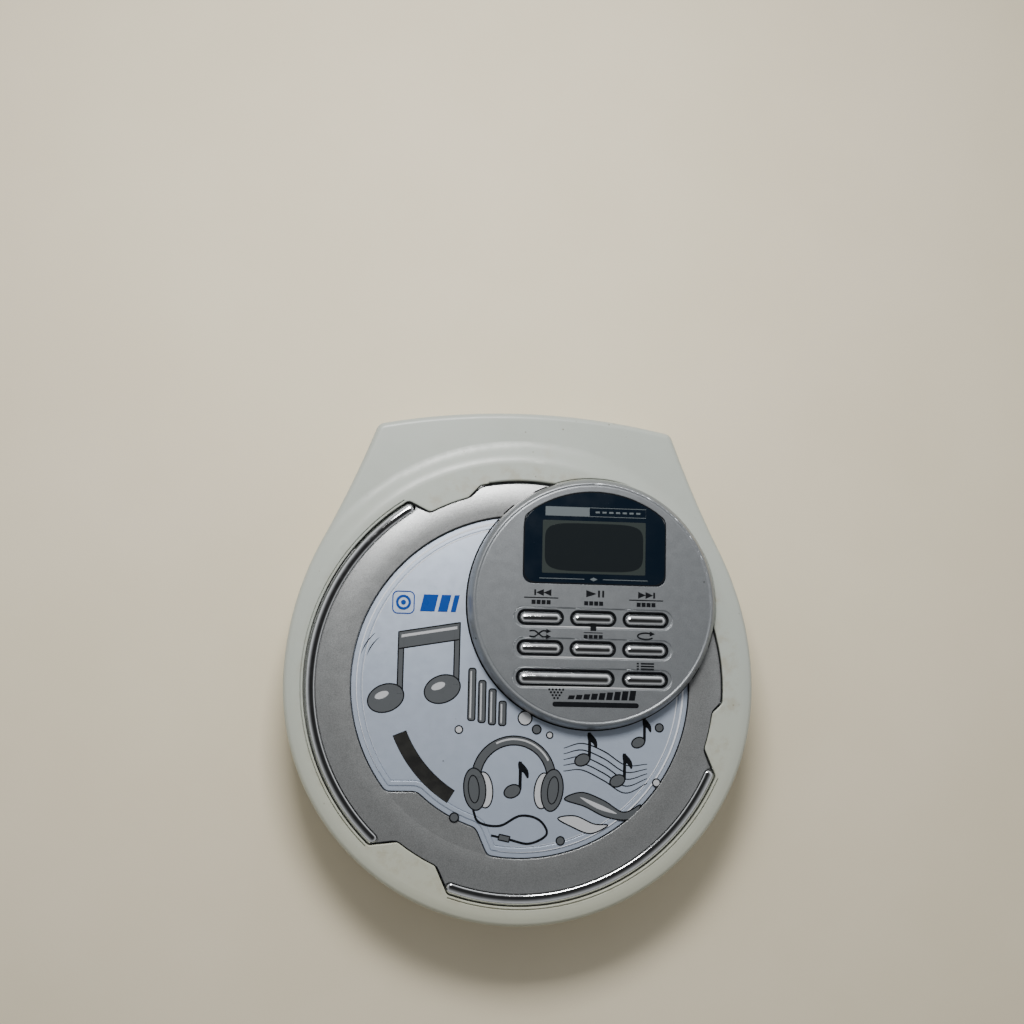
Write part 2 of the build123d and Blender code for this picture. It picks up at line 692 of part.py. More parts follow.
with BuildPart() as pod_cover:
    with BuildSketch(pod_plane):
        with BuildLine():
            Line((0, 27.2), (POD_R, 27.2))
            Line((POD_R, 27.2), (POD_R, 28.6))
            Spline(
                (POD_R, 28.6),
                (POD_R - 0.35, 30.6),
                (BEAD_R + 0.5, POD_TOP - 0.3),
                tangents=((0, 1), (-0.9, 1)),
            )
            # A narrow bead runs round the top face.
            ThreePointArc(
                (BEAD_R + 0.5, POD_TOP - 0.3),
                (BEAD_R, POD_TOP + 0.12),
                (BEAD_R - 0.55, POD_TOP - 0.14),
            )
            Line((BEAD_R - 0.55, POD_TOP - 0.14), (BEAD_R - 0.9, POD_TOP))
            Line((BEAD_R - 0.9, POD_TOP), (0, POD_TOP))
            Line((0, POD_TOP), (0, 27.2))
        make_face()
    revolve(axis=pod_axis)
    with BuildSketch(at(27)):
        with Locations((POD_X, POD_Y)):
            Circle(38.4)
    extrude(amount=POD_TOP - SKIN - 27, mode=Mode.SUBTRACT)
    add(clear_of_lid(), mode=Mode.SUBTRACT)
    # Shallow troughs that the buttons stand in
    with BuildSketch(at(POD_TOP - 0.4)) as troughs:
        for row_y in ROW:
            with Locations(((COLUMN[0] + COLUMN[2]) / 2, row_y)):
                SlotOverall(COLUMN[2] - COLUMN[0] + PILL_LENGTH + 2.6, 6.0)
    extrude(amount=2, mode=Mode.SUBTRACT)
    rims = pod_cover.faces().filter_by(Axis.Z).group_by(Axis.Z)[-1].edges()
    chamfer(rims.filter_by(lambda edge: edge.center().Y < ROW[0] + 4 and edge.length < 60), length=0.34)
    # Button windows
    with BuildSketch(at(POD_TOP - 2)):
        for row_y in ROW:
            for column_x in COLUMN:
                if row_y == ROW[2] and column_x != COLUMN[2]:
                    continue
                with Locations((column_x, row_y)):
                    SlotOverall(PILL_LENGTH, PILL_HEIGHT)
        with Locations((LONG_PILL_X, ROW[2])):
            SlotOverall(LONG_PILL_LENGTH, PILL_HEIGHT + 0.5)
    extrude(amount=3, mode=Mode.SUBTRACT)
    # Seat and sight hole for the display lens
    with BuildSketch(at(POD_TOP - 0.9)) as lens_seat:
        with Locations((22.2, 49.3)):
            Rectangle(46.2, 34)
        with Locations((POD_X, POD_Y)):
            Circle(35.8, mode=Mode.INTERSECT)
        fillet(lens_seat.vertices().sort_by(Axis.Y)[:2], radius=3)
        fillet(lens_seat.vertices().sort_by(Axis.Y)[-2:], radius=8)
    extrude(amount=2, mode=Mode.SUBTRACT)
    with BuildSketch(at(POD_TOP - 2)):
        with Locations((22.0, 44.4)):
            Rectangle(36, 19.5)
    extrude(amount=3, mode=Mode.SUBTRACT)
finish(pod_cover, "pod_cover")

with BuildPart() as lcd_lens:
    with BuildSketch(at(POD_TOP - 0.9)):
        add(lens_seat.sketch.moved(Location((0, 0, 0.9 - POD_TOP))))
        offset(amount=-0.08)
    extrude(amount=1.05)
    fillet(lcd_lens.edges().group_by(Axis.Z)[-1], radius=0.3)
finish(lcd_lens, "lcd_lens")

with BuildPart() as pod_base:
    with BuildSketch(at(27.2)):
        with Locations((POD_X, POD_Y)):
            Circle(38.3)
    extrude(amount=28.6 - 27.2)
    add(clear_of_lid(), mode=Mode.SUBTRACT)
finish(pod_base, "pod_base")

with BuildPart() as pod_board:
    with BuildSketch(at(28.6)):
        with Locations((POD_X, POD_Y)):
            Circle(36)
    extrude(amount=0.6)
finish(pod_board, "pod_board")

with BuildPart() as keypad:
    with BuildSketch(at(29.2)):
        with Locations((22.1, 12)):
            RectangleRounded(52, 27, 3)
    extrude(amount=0.3)
    with BuildSketch(at(29.5)):
        for row_y in ROW:
            for column_x in COLUMN:
                with Locations((column_x, row_y)):
                    Circle(1.9)
    extrude(amount=0.3)
finish(keypad, "keypad")

with BuildPart() as lcd_module:
    with BuildSketch(at(29.2)):
        with Locations((22.0, 44.4)):
            Rectangle(40, 22)
    extrude(amount=1.9)
    with BuildSketch(at(31.1)):
        with Locations((22.0, 44.4)):
            Rectangle(35, 18.4)
    extrude(amount=0.7)
finish(lcd_module, "lcd_module")

BUTTONS = (
    ("button_back", COLUMN[0], ROW[0], PILL_LENGTH, PILL_HEIGHT),
    ("button_play", COLUMN[1], ROW[0], PILL_LENGTH, PILL_HEIGHT),
    ("button_next", COLUMN[2], ROW[0], PILL_LENGTH, PILL_HEIGHT),
    ("button_random", COLUMN[0], ROW[1], PILL_LENGTH, PILL_HEIGHT),
    ("button_stop", COLUMN[1], ROW[1], PILL_LENGTH, PILL_HEIGHT),
    ("button_mode", COLUMN[2], ROW[1], PILL_LENGTH, PILL_HEIGHT),
    ("button_long", LONG_PILL_X, ROW[2], LONG_PILL_LENGTH, PILL_HEIGHT + 0.5),
    ("button_prog", COLUMN[2], ROW[2], PILL_LENGTH, PILL_HEIGHT),
)

for name, button_x, button_y, length, height in BUTTONS:
    with BuildPart() as button:
        # Flange that keeps the button under the cover
        with BuildSketch(at(30.5)):
            with Locations((button_x, button_y)):
                SlotOverall(length + 1.0, height + 1.0)
        extrude(amount=0.6)
        with BuildSketch(at(31.1)):
            with Locations((button_x, button_y)):
                SlotOverall(length - 2 * BUTTON_GAP, height - 2 * BUTTON_GAP)
        extrude(amount=2.35)
        fillet(button.edges().group_by(Axis.Z)[-1], radius=1.2)
    finish(button, name)

with BuildPart() as pod_ribbon:
    with BuildSketch(at(INNER_TOP)):
        with Locations((31.5, 31)):
            Rectangle(7, 14)
    extrude(amount=0.25)
finish(pod_ribbon, "pod_ribbon")

# ---------------------------------------------------------------- electronics in the base

with BuildPart() as main_board:
    with BuildSketch(at(BOARD_BOTTOM)):
        Circle(62)
        with Locations((0, 62)):
            Rectangle(140, 36, mode=Mode.SUBTRACT)
        with Locations((60, 3)):
            Rectangle(24, 38)
        with Locations((-60, 0)):
            Rectangle(24, 18)
        Circle(12, mode=Mode.SUBTRACT)
        with Locations(*DAMPER_SPOTS):
            Circle(2.8, mode=Mode.SUBTRACT)
        with Locations(*BOARD_SPOTS):
            Circle(1.1, mode=Mode.SUBTRACT)
        # Notch round the latch spring's stop
        with Locations((0, -60)):
            Rectangle(7, 8, mode=Mode.SUBTRACT)
        add(case_outline(2.5), mode=Mode.INTERSECT)
    extrude(amount=BOARD_TOP - BOARD_BOTTOM)
finish(main_board, "main_board")

with BuildPart() as board_chips:
    with BuildSketch(at(BOARD_TOP)):
        with Locations((34, 8), (-24, -36)):
            Rectangle(12, 12)
        with Locations((32, -28), (10, 34)):
            Rectangle(9, 6)
        with Locations((-12, 35)):
            Rectangle(7, 5)
    extrude(amount=1.6)
finish(board_chips, "board_chips")

with BuildPart() as capacitors:
    with BuildSketch(at(BOARD_TOP)):
        with Locations((48, -24), (40, -36), (-40, -38), (-46, -28), (46, 28)):
            Circle(2.6)
    extrude(amount=6)
    fillet(capacitors.edges().group_by(Axis.Z)[-1], radius=0.4)
finish(capacitors, "capacitors")

with BuildPart() as board_screws:
    with BuildSketch(at(BOARD_TOP)):
        with Locations(*BOARD_SPOTS):
            Circle(1.9)
    extrude(amount=1.1)
    with BuildSketch(at(FLOOR + 0.4)):
        with Locations(*BOARD_SPOTS):
            Circle(0.85)
    extrude(amount=BOARD_TOP - FLOOR - 0.4)
finish(board_screws, "board_screws")

with BuildPart() as headphone_jack:
    with BuildSketch(at(BOARD_TOP)):
        with Locations((66, -10)):
            Rectangle(12, 7)
    extrude(amount=6.2)
    with BuildSketch(Plane.YZ.offset(72)):
        with Locations((-10, JACK_AXIS)):
            Circle(3.0)
    extrude(amount=2.4)
    with BuildSketch(Plane.YZ.offset(61)):
        with Locations((-10, JACK_AXIS)):
            Circle(1.8)
    extrude(amount=14, mode=Mode.SUBTRACT)
finish(headphone_jack, "headphone_jack")

with BuildPart() as dc_jack:
    with BuildSketch(at(JACK_AXIS - 4)):
        with Locations((POWER_X, 76.1)):
            Rectangle(6.6, 10.2)
    extrude(amount=8)
    with BuildSketch(Plane.XZ.offset(-83.6)):
        with Locations((POWER_X, JACK_AXIS)):
            Circle(3.1)
    extrude(amount=3)
    with BuildSketch(Plane.XZ.offset(-86)):
        with Locations((POWER_X, JACK_AXIS)):
            Circle(2.6)
    extrude(amount=10, mode=Mode.SUBTRACT)
    with BuildSketch(Plane.XZ.offset(-83)):
        with Locations((POWER_X, JACK_AXIS)):
            Circle(0.85)
    extrude(amount=9)
finish(dc_jack, "dc_jack")

WHEEL_X = 66.9
WHEEL_Y = 14.0
WHEEL_R = 8.2

with BuildPart() as volume_wheel:
    with BuildSketch(at(JACK_AXIS - 1.4)):
        with Locations((WHEEL_X, WHEEL_Y)):
            Circle(WHEEL_R)
            with PolarLocations(WHEEL_R, 48):
                Circle(0.22, mode=Mode.SUBTRACT)
            Circle(1.6, mode=Mode.SUBTRACT)
    extrude(amount=2.8)
finish(volume_wheel, "volume_wheel")

with BuildPart() as volume_pot:
    with BuildSketch(at(BOARD_TOP)):
        with Locations((WHEEL_X, WHEEL_Y)):
            Circle(3.6)
    extrude(amount=1.4)
    with BuildSketch(at(BOARD_TOP + 1.4)):
        with Locations((WHEEL_X, WHEEL_Y)):
            Circle(1.54)
    extrude(amount=3.4)
finish(volume_pot, "volume_pot")

HOLD_Z = JACK_AXIS - 1

with BuildPart() as hold_switch:
    with BuildSketch(at(BOARD_TOP)):
        with Locations((-68.2, 0)):
            Rectangle(4.6, 10)
    extrude(amount=3.3)
finish(hold_switch, "hold_switch")

with BuildPart() as hold_knob:
    with BuildSketch(Plane.YZ.offset(-CASE_R + 0.35)):
        with Locations((-2, HOLD_Z)):
            RectangleRounded(5, 2.0, 0.4)
    extrude(amount=4.1)
    with BuildSketch(Plane.XZ.offset(2 - 0.15)):
        with Locations((-CASE_R + 0.35, HOLD_Z)):
            Rectangle(0.5, 3)
    extrude(amount=0.3, mode=Mode.SUBTRACT)
finish(hold_knob, "hold_knob")

BUTTON_Z = JACK_AXIS + 0.6

with BuildPart() as open_button:
    with BuildSketch(Plane.XZ.offset(72.5)):
        with Locations((0, BUTTON_Z)):
            RectangleRounded(16.2, 3.8, 0.9)
    extrude(amount=2.75)
    fillet(open_button.edges().group_by(Axis.Y)[0], radius=0.5)
    with BuildSketch(Plane.XZ.offset(71.2)):
        with Locations((0, BUTTON_Z)):
            RectangleRounded(18.6, 5.6, 0.9)
    extrude(amount=1.3)
finish(open_button, "open_button")

with BuildPart() as latch_hook:
    with BuildSketch(Plane.YZ.offset(-3)):
        with BuildLine():
            Polyline(
                (-71.2, BUTTON_Z - 2),
                (-63.3, BUTTON_Z - 2),
                (-63.3, 23.0),
                (-64.6, 23.0),
                (-65.0, 22.4),
                (-64.5, 22.0),
                (-64.5, BUTTON_Z),
                (-71.2, BUTTON_Z),
                close=True,
            )
        make_face()
    extrude(amount=6)
finish(latch_hook, "latch_hook")

with BuildPart() as latch_spring:
    spring_path = Helix(pitch=1.1, height=4.4, radius=1.5, center=(0, -63.0, BUTTON_Z - 0.6), direction=(0, 1, 0))
    with BuildSketch(Plane(origin=spring_path @ 0, z_dir=spring_path % 0)):
        Circle(0.22)
    sweep(path=spring_path)
finish(latch_spring, "latch_spring")

# ---------------------------------------------------------------- disc mechanism

with BuildPart() as chassis_deck:
    with BuildSketch(at(DECK_BOTTOM)):
        with Locations((-22, 0)):
            RectangleRounded(92, 48, 5)
        # Opening that the pickup hangs in
        with Locations((-42, 0)):
            RectangleRounded(50, 20, 2, mode=Mode.SUBTRACT)
        Circle(2.4, mode=Mode.SUBTRACT)
        with Locations((-5.5, ROD_Y)):
            Rectangle(17, 8.2, mode=Mode.SUBTRACT)
        with Locations(*DAMPER_SPOTS):
            Circle(1.3, mode=Mode.SUBTRACT)
    extrude(amount=DECK_TOP - DECK_BOTTOM)
    # Saddles for the guide rod and the lead screw
    for saddle_x, saddle_y in ((-15.2, -ROD_Y), (-66.2, -ROD_Y), (-66.2, ROD_Y)):
        with BuildSketch(Plane.YZ.offset(saddle_x - 0.8)):
            with Locations((saddle_y, DECK_TOP + 1.9)):
                Rectangle(4.6, 4.0)
            with Locations((saddle_y, ROD_AXIS)):
                Circle(1.0 if saddle_y < 0 else 1.06, mode=Mode.SUBTRACT)
        extrude(amount=1.6)
finish(chassis_deck, "chassis_deck")

with BuildPart() as dampers:
    with BuildSketch(at(DECK_BOTTOM - 2)):
        with Locations(*DAMPER_SPOTS):
            Circle(3.2)
    extrude(amount=2)
finish(dampers, "dampers")

with BuildPart() as deck_screws:
    with BuildSketch(at(DECK_TOP)):
        with Locations(*DAMPER_SPOTS):
            Circle(2.2)
    extrude(amount=1)
    with BuildSketch(at(DECK_BOTTOM)):
        with Locations(*DAMPER_SPOTS):
            Circle(1.1)
    extrude(amount=DECK_TOP - DECK_BOTTOM)
finish(deck_screws, "deck_screws")

with BuildPart() as spindle_motor:
    with BuildSketch(at(4.2)):
        Circle(MOTOR_R)
    extrude(amount=DECK_BOTTOM - 4.2)
    fillet(spindle_motor.edges().group_by(Axis.Z)[0], radius=1)
    with BuildSketch(at(DECK_BOTTOM)):
        Circle(2.2)
    extrude(amount=1.6)
    with BuildSketch(at(8)):
        Circle(SHAFT_R + 0.05)
    extrude(amount=6, mode=Mode.SUBTRACT)
finish(spindle_motor, "spindle_motor")

with BuildPart() as spindle_shaft:
    with BuildSketch(at(8.2)):
        Circle(SHAFT_R)
    extrude(amount=14)
finish(spindle_shaft, "spindle_shaft")

BALL_SPOTS = [polar(6.7, angle) for angle in (90, 210, 330)]

with BuildPart() as turntable:
    with BuildSketch(Plane.XZ):
        with BuildLine():
            Polyline(
                (SHAFT_R, 13.6),
                (3.6, 13.6),
                (3.6, WELL_FLOOR + 0.4),
                (14.8, WELL_FLOOR + 0.4),
                (14.8, DISC_SEAT - 0.4),
                (7.4, DISC_SEAT - 0.4),
                (7.4, DISC_SEAT + 1.6),
                (6.0, DISC_SEAT + 2.7),
                (SHAFT_R, DISC_SEAT + 2.7),
                close=True,
            )
        make_face()
    revolve(axis=Axis.Z)
    # Sockets for the clamp balls
    with Locations(*[(x, y, DISC_SEAT + 1.3) for x, y in BALL_SPOTS]):
        Sphere(1.0, mode=Mode.SUBTRACT)
finish(turntable, "turntable")

with BuildPart() as clamp_balls:
    with Locations(*[(x, y, DISC_SEAT + 1.3) for x, y in BALL_SPOTS]):
        Sphere(0.97)
finish(clamp_balls, "clamp_balls")

with BuildPart() as disc_mat:
    with BuildSketch(at(DISC_SEAT - 0.4)):
        Circle(14.4)
        Circle(10.4, mode=Mode.SUBTRACT)
    extrude(amount=0.4)
finish(disc_mat, "disc_mat")

with BuildPart() as sled_motor:
    with BuildSketch(Plane.YZ.offset(-13.4)):
        with Locations((ROD_Y, ROD_AXIS)):
            Circle(3.9)
            Circle(1.06, mode=Mode.SUBTRACT)
    extrude(amount=14)
finish(sled_motor, "sled_motor")

with BuildPart() as lead_screw:
    with BuildSketch(Plane(origin=(0, ROD_Y, ROD_AXIS), x_dir=(1, 0, 0), z_dir=(0, -1, 0))) as screw_profile:
        with Locations((-40.3, 0.5)):
            Rectangle(55, 1.0)
        # Thread crests along the working length
        for crest in range(22):
            with Locations((-64.2 + 2.2 * crest, 1.2)):
                Rectangle(1.1, 0.5)
    revolve(axis=Axis((0, ROD_Y, ROD_AXIS), (1, 0, 0)))
finish(lead_screw, "lead_screw")

with BuildPart() as guide_rod:
    with BuildSketch(Plane.YZ.offset(-67)):
        with Locations((-ROD_Y, ROD_AXIS)):
            Circle(1.0)
    extrude(amount=52.6)
finish(guide_rod, "guide_rod")

SLED_X = -25.5

with BuildPart() as pickup_sled:
    with BuildSketch(at(DECK_BOTTOM - 1.4)):
        with Locations((SLED_X, 0)):
            RectangleRounded(15, 18.8, 1.5)
    extrude(amount=6.6)
    with BuildSketch(at(DECK_TOP + 0.5)):
        with Locations((SLED_X, -13.2)):
            Rectangle(15, 8)
        with Locations((SLED_X, 9.6)):
            Rectangle(15, 2.4)
    extrude(amount=3.5)
    # Follower that reaches over the lead screw
    with BuildSketch(at(ROD_AXIS + 1.75)):
        with Locations((SLED_X, 12)):
            Rectangle(8, 8)
    extrude(amount=0.9)
    # Bore that slides on the guide rod
    with BuildSketch(Plane.YZ.offset(SLED_X - 9)):
        with Locations((-ROD_Y, ROD_AXIS)):
            Circle(1.06)
    extrude(amount=18, mode=Mode.SUBTRACT)
    with BuildSketch(at(15)):
        with Locations((SLED_X, 0)):
            Circle(5.5)
    extrude(amount=2.6)
    with BuildSketch(at(17)):
        with Locations((SLED_X, 0)):
            Circle(2.4)
    extrude(amount=4, mode=Mode.SUBTRACT)
finish(pickup_sled, "pickup_sled")

with BuildPart() as pickup_lens:
    with BuildSketch(at(17)):
        with Locations((SLED_X, 0)):
            Circle(2.35)
    extrude(amount=2.4)
    fillet(pickup_lens.edges().group_by(Axis.Z)[-1], radius=1.2)
finish(pickup_lens, "pickup_lens")

# ---------------------------------------------------------------- battery contacts

CELL_Y = (55.2, 70.4)
CELL_Z = 10.2
SPRING_LENGTH = 5.0

with BuildPart() as battery_contacts:
    for side in (-1, 1):
        with BuildSketch(Plane.YZ.offset(side * (BAY_HALF_X + 1.1) - 0.2)):
            with Locations((CELL_Y[0], CELL_Z), (CELL_Y[1], CELL_Z)):
                RectangleRounded(9, 9, 1)
        extrude(amount=0.4)
finish(battery_contacts, "battery_contacts")

with BuildPart() as battery_springs:
    for start_x, cell_y in ((-BAY_HALF_X - 0.5, CELL_Y[0]), (BAY_HALF_X + 0.5 - SPRING_LENGTH, CELL_Y[1])):
        coil = Helix(
            pitch=1.37,
            height=SPRING_LENGTH,
            radius=2.9,
            center=(start_x, cell_y, CELL_Z),
            direction=(1, 0, 0),
        )
        with BuildSketch(Plane(origin=coil @ 0, z_dir=coil % 0)):
            Circle(0.32)
        sweep(path=coil, is_frenet=True)
finish(battery_springs, "battery_springs")
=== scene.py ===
import json
from math import atan2, cos, hypot, pi, radians, sin

import bmesh
import bpy
from mathutils import Matrix, Vector


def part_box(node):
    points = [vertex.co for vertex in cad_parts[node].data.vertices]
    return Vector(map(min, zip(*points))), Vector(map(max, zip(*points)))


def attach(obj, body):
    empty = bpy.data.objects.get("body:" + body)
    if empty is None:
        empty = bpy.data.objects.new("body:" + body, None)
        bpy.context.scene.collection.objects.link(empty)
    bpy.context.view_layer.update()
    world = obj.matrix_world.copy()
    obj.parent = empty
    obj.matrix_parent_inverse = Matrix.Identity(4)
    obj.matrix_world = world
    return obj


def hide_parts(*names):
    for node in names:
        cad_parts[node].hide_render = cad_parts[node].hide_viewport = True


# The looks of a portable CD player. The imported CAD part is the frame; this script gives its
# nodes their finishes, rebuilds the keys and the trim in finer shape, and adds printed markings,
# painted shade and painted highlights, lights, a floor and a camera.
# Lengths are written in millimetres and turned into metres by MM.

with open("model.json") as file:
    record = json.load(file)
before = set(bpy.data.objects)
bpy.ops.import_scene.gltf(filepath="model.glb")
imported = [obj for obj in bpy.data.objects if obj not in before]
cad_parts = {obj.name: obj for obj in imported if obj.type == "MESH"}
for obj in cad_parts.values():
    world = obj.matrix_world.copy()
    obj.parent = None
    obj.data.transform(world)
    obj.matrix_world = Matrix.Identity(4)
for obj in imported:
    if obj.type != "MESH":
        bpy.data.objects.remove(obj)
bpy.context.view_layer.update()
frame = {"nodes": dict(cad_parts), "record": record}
nodes = frame["nodes"]

MM = 0.001
LID_TOP = 28.0
LABEL_TOP = 27.35
POD_TOP = 32.8
POD_X, POD_Y = 22.14, 26.54


# ---------------------------------------------------------------- material graph helper


class Finish:
    """One procedural material: a Principled shader and the nodes that feed it."""

    def __init__(self, name, colour, roughness, metallic=0.0, edge=0.22, **sockets):
        self.material = bpy.data.materials.new(name)
        self.material.use_nodes = True
        self.tree = self.material.node_tree
        self.shader = self.tree.nodes["Principled BSDF"]
        self.shader.inputs["Base Color"].default_value = (*colour, 1)
        self.shader.inputs["Roughness"].default_value = roughness
        self.shader.inputs["Metallic"].default_value = metallic
        for socket, value in sockets.items():
            self.shader.inputs[socket.replace("_", " ")].default_value = value
        place = self.add("ShaderNodeTexCoord").outputs["Object"]
        self.mm = self.scaled(place, (1000, 1000, 1000))
        soft_edge = self.add("ShaderNodeBevel", samples=4)
        soft_edge.inputs["Radius"].default_value = edge * MM
        self.wire(soft_edge.outputs["Normal"], self.shader.inputs["Normal"])

    def add(self, kind, **settings):
        node = self.tree.nodes.new(kind)
        for name, value in settings.items():
            setattr(node, name, value)
        return node

    def wire(self, value, socket):
        """Feed a socket from an output, or set it when value is a plain number or colour."""
        if isinstance(value, bpy.types.NodeSocket):
            self.tree.links.new(value, socket)
        else:
            socket.default_value = value

    def scaled(self, vector, scale):
        node = self.add("ShaderNodeMapping")
        self.wire(vector, node.inputs["Vector"])
        node.inputs["Scale"].default_value = scale
        return node.outputs["Vector"]

    def noise(self, size, detail=4.0, rough=0.55, stretch=None, distortion=0.0):
        """Noise whose largest features are about size millimetres across."""
        node = self.add("ShaderNodeTexNoise")
        vector = self.mm if stretch is None else self.scaled(self.mm, stretch)
        self.wire(vector, node.inputs["Vector"])
        node.inputs["Scale"].default_value = 1.0 / size
        node.inputs["Detail"].default_value = detail
        node.inputs["Roughness"].default_value = rough
        node.inputs["Distortion"].default_value = distortion
        return node.outputs["Fac"]

    def cells(self, size, feature="F1"):
        """Distance to scattered points about size millimetres apart."""
        node = self.add("ShaderNodeTexVoronoi", feature=feature)
        self.wire(self.mm, node.inputs["Vector"])
        node.inputs["Scale"].default_value = 1.0 / size
        return node.outputs["Distance"]

    def step(self, value, low, high, out_low=0.0, out_high=1.0):
        """Smoothly map a value from one range to another, clamped."""
        node = self.add("ShaderNodeMapRange", interpolation_type="SMOOTHSTEP")
        self.wire(value, node.inputs["Value"])
        node.inputs["From Min"].default_value = low
        node.inputs["From Max"].default_value = high
        node.inputs["To Min"].default_value = out_low
        node.inputs["To Max"].default_value = out_high
        return node.outputs["Result"]

    def math(self, operation, a, b=0.0):
        node = self.add("ShaderNodeMath", operation=operation)
        self.wire(a, node.inputs[0])
        self.wire(b, node.inputs[1])
        return node.outputs[0]

    def times(self, *factors):
        """The product of two or more values."""
        product = factors[0]
        for factor in factors[1:]:
            product = self.math("MULTIPLY", product, factor)
        return product

    def axis(self, name):
        """One coordinate in millimetres."""
        node = self.add("ShaderNodeSeparateXYZ")
        self.wire(self.mm, node.inputs[0])
        return node.outputs[name]

    def radius(self, x=0.0, y=0.0):
        """Distance in plan from an upright axis, in millimetres."""
        flat = self.add("ShaderNodeMapping")
        self.wire(self.mm, flat.inputs["Vector"])
        flat.inputs["Location"].default_value = (-x, -y, 0)
        flat.inputs["Scale"].default_value = (1, 1, 0)
        node = self.add("ShaderNodeVectorMath", operation="LENGTH")
        self.wire(flat.outputs["Vector"], node.inputs[0])
        return node.outputs["Value"]

    def mix(self, amount, a, b):
        node = self.add("ShaderNodeMix", data_type="RGBA")
        self.wire(amount, node.inputs["Factor"])
        sockets = [socket for socket in node.inputs if socket.type == "RGBA"]
        for value, socket in zip((a, b), sockets):
            self.wire(value if isinstance(value, bpy.types.NodeSocket) else (*value, 1), socket)
        return next(socket for socket in node.outputs if socket.type == "RGBA")

    def colour(self, value):
        self.wire(value, self.shader.inputs["Base Color"])

    def rough(self, value):
        self.wire(value, self.shader.inputs["Roughness"])

    def bump(self, height, depth):
        """Raise the surface by height times depth millimetres."""
        node = self.add("ShaderNodeBump")
        self.wire(height, node.inputs["Height"])
        node.inputs["Distance"].default_value = depth * MM
        node.inputs["Strength"].default_value = 1.0
        previous = self.shader.inputs["Normal"]
        if previous.is_linked:
            self.wire(previous.links[0].from_socket, node.inputs["Normal"])
        self.wire(node.outputs["Normal"], previous)


# ---------------------------------------------------------------- finishes


def make_case_plastic():
    f = Finish("ivory_plastic", (0.62, 0.63, 0.58), 0.34, edge=0.55, Coat_Weight=0.16, Coat_Roughness=0.20)
    clean = (0.462, 0.497, 0.449)
    aged = (0.535, 0.530, 0.400)
    grime = (0.17, 0.15, 0.10)
    ageing = f.step(f.math("ADD", f.axis("Y"), f.times(f.noise(40), 60.0)), 60.0, -50.0)
    colour = f.mix(f.times(ageing, 0.7), clean, aged)
    mottle = f.step(f.noise(9, detail=6), 0.42, 0.72)
    colour = f.mix(f.times(mottle, 0.10), colour, (0.45, 0.44, 0.38))
    smudge = f.step(f.noise(16, detail=7, rough=0.7, distortion=1.5), 0.60, 0.74)
    colour = f.mix(f.times(smudge, 0.22), colour, (0.40, 0.36, 0.26))
    specks = f.step(f.cells(4.6), 0.085, 0.040)
    sparse = f.step(f.noise(20), 0.49, 0.58)
    colour = f.mix(f.times(specks, sparse, 0.8), colour, grime)
    # Brown patches darken the case beside the lid, as dirt and as painted shade by the lid's edge; handling has left
    # brown dirt along the lower rim.
    dirt_and_shade_by_lid = f.times(f.step(f.radius(), 72.6, 68.6), f.step(f.axis("Z"), 26.5, 27.5))
    patchy = f.step(f.noise(5, detail=7, rough=0.7), 0.46, 0.66)
    colour = f.mix(f.times(dirt_and_shade_by_lid, patchy, 0.42), colour, (0.36, 0.32, 0.22))
    low_rim = f.step(f.axis("Z"), 21.0, 14.0)
    colour = f.mix(f.times(low_rim, patchy, 0.16), colour, (0.34, 0.30, 0.21))
    scuffs = f.step(f.noise(2.2, detail=3, stretch=(1.0, 0.12, 1.0), distortion=0.8), 0.70, 0.76)
    scuffs = f.times(scuffs, f.step(f.noise(18), 0.50, 0.62))
    colour = f.mix(f.times(scuffs, 0.35), colour, (0.33, 0.30, 0.24))
    scratches = f.step(f.noise(1.3, detail=2, stretch=(0.10, 1.0, 1.0), distortion=1.2), 0.735, 0.760)
    scratches = f.times(scratches, f.step(f.noise(24, detail=4), 0.50, 0.60))
    colour = f.mix(f.times(scratches, 0.30), colour, (0.20, 0.18, 0.13))
    f.colour(colour)
    f.rough(f.step(f.noise(6, detail=6), 0.3, 0.75, 0.31, 0.42))
    f.bump(f.noise(0.35, detail=2), 0.006)
    f.bump(scuffs, -0.02)
    return f.material


def make_lid_paint():
    f = Finish(
        "silver_paint", (0.30, 0.31, 0.315), 0.34, metallic=0.65, edge=0.45, Coat_Weight=0.15, Coat_Roughness=0.2
    )
    flakes = f.step(f.cells(0.24), 0.05, 0.75)
    colour = f.mix(flakes, (0.47, 0.482, 0.488), (0.305, 0.315, 0.318))
    clouds = f.step(f.noise(34, detail=3), 0.35, 0.70)
    colour = f.mix(f.times(clouds, 0.12), colour, (0.26, 0.255, 0.24))
    wear_and_highlight = f.step(f.noise(1.4, detail=6, rough=0.75, stretch=(1.0, 0.35, 1.0)), 0.66, 0.78)
    wear_and_highlight = f.times(wear_and_highlight, f.step(f.noise(16, detail=4), 0.50, 0.64))
    colour = f.mix(f.times(wear_and_highlight, 0.30), colour, (0.20, 0.195, 0.18))
    specks = f.step(f.cells(6.5), 0.060, 0.028)
    sparse = f.step(f.noise(19), 0.52, 0.60)
    colour = f.mix(f.times(specks, sparse, 0.8), colour, (0.03, 0.03, 0.03))
    f.colour(colour)
    f.rough(f.step(f.noise(3, detail=6), 0.3, 0.7, 0.32, 0.36))
    # The ring is very slightly crowned, and its metal flakes lie unevenly.
    f.bump(f.times(f.radius(), -0.075), 1.0)
    f.bump(f.cells(0.24), 0.014)
    return f.material


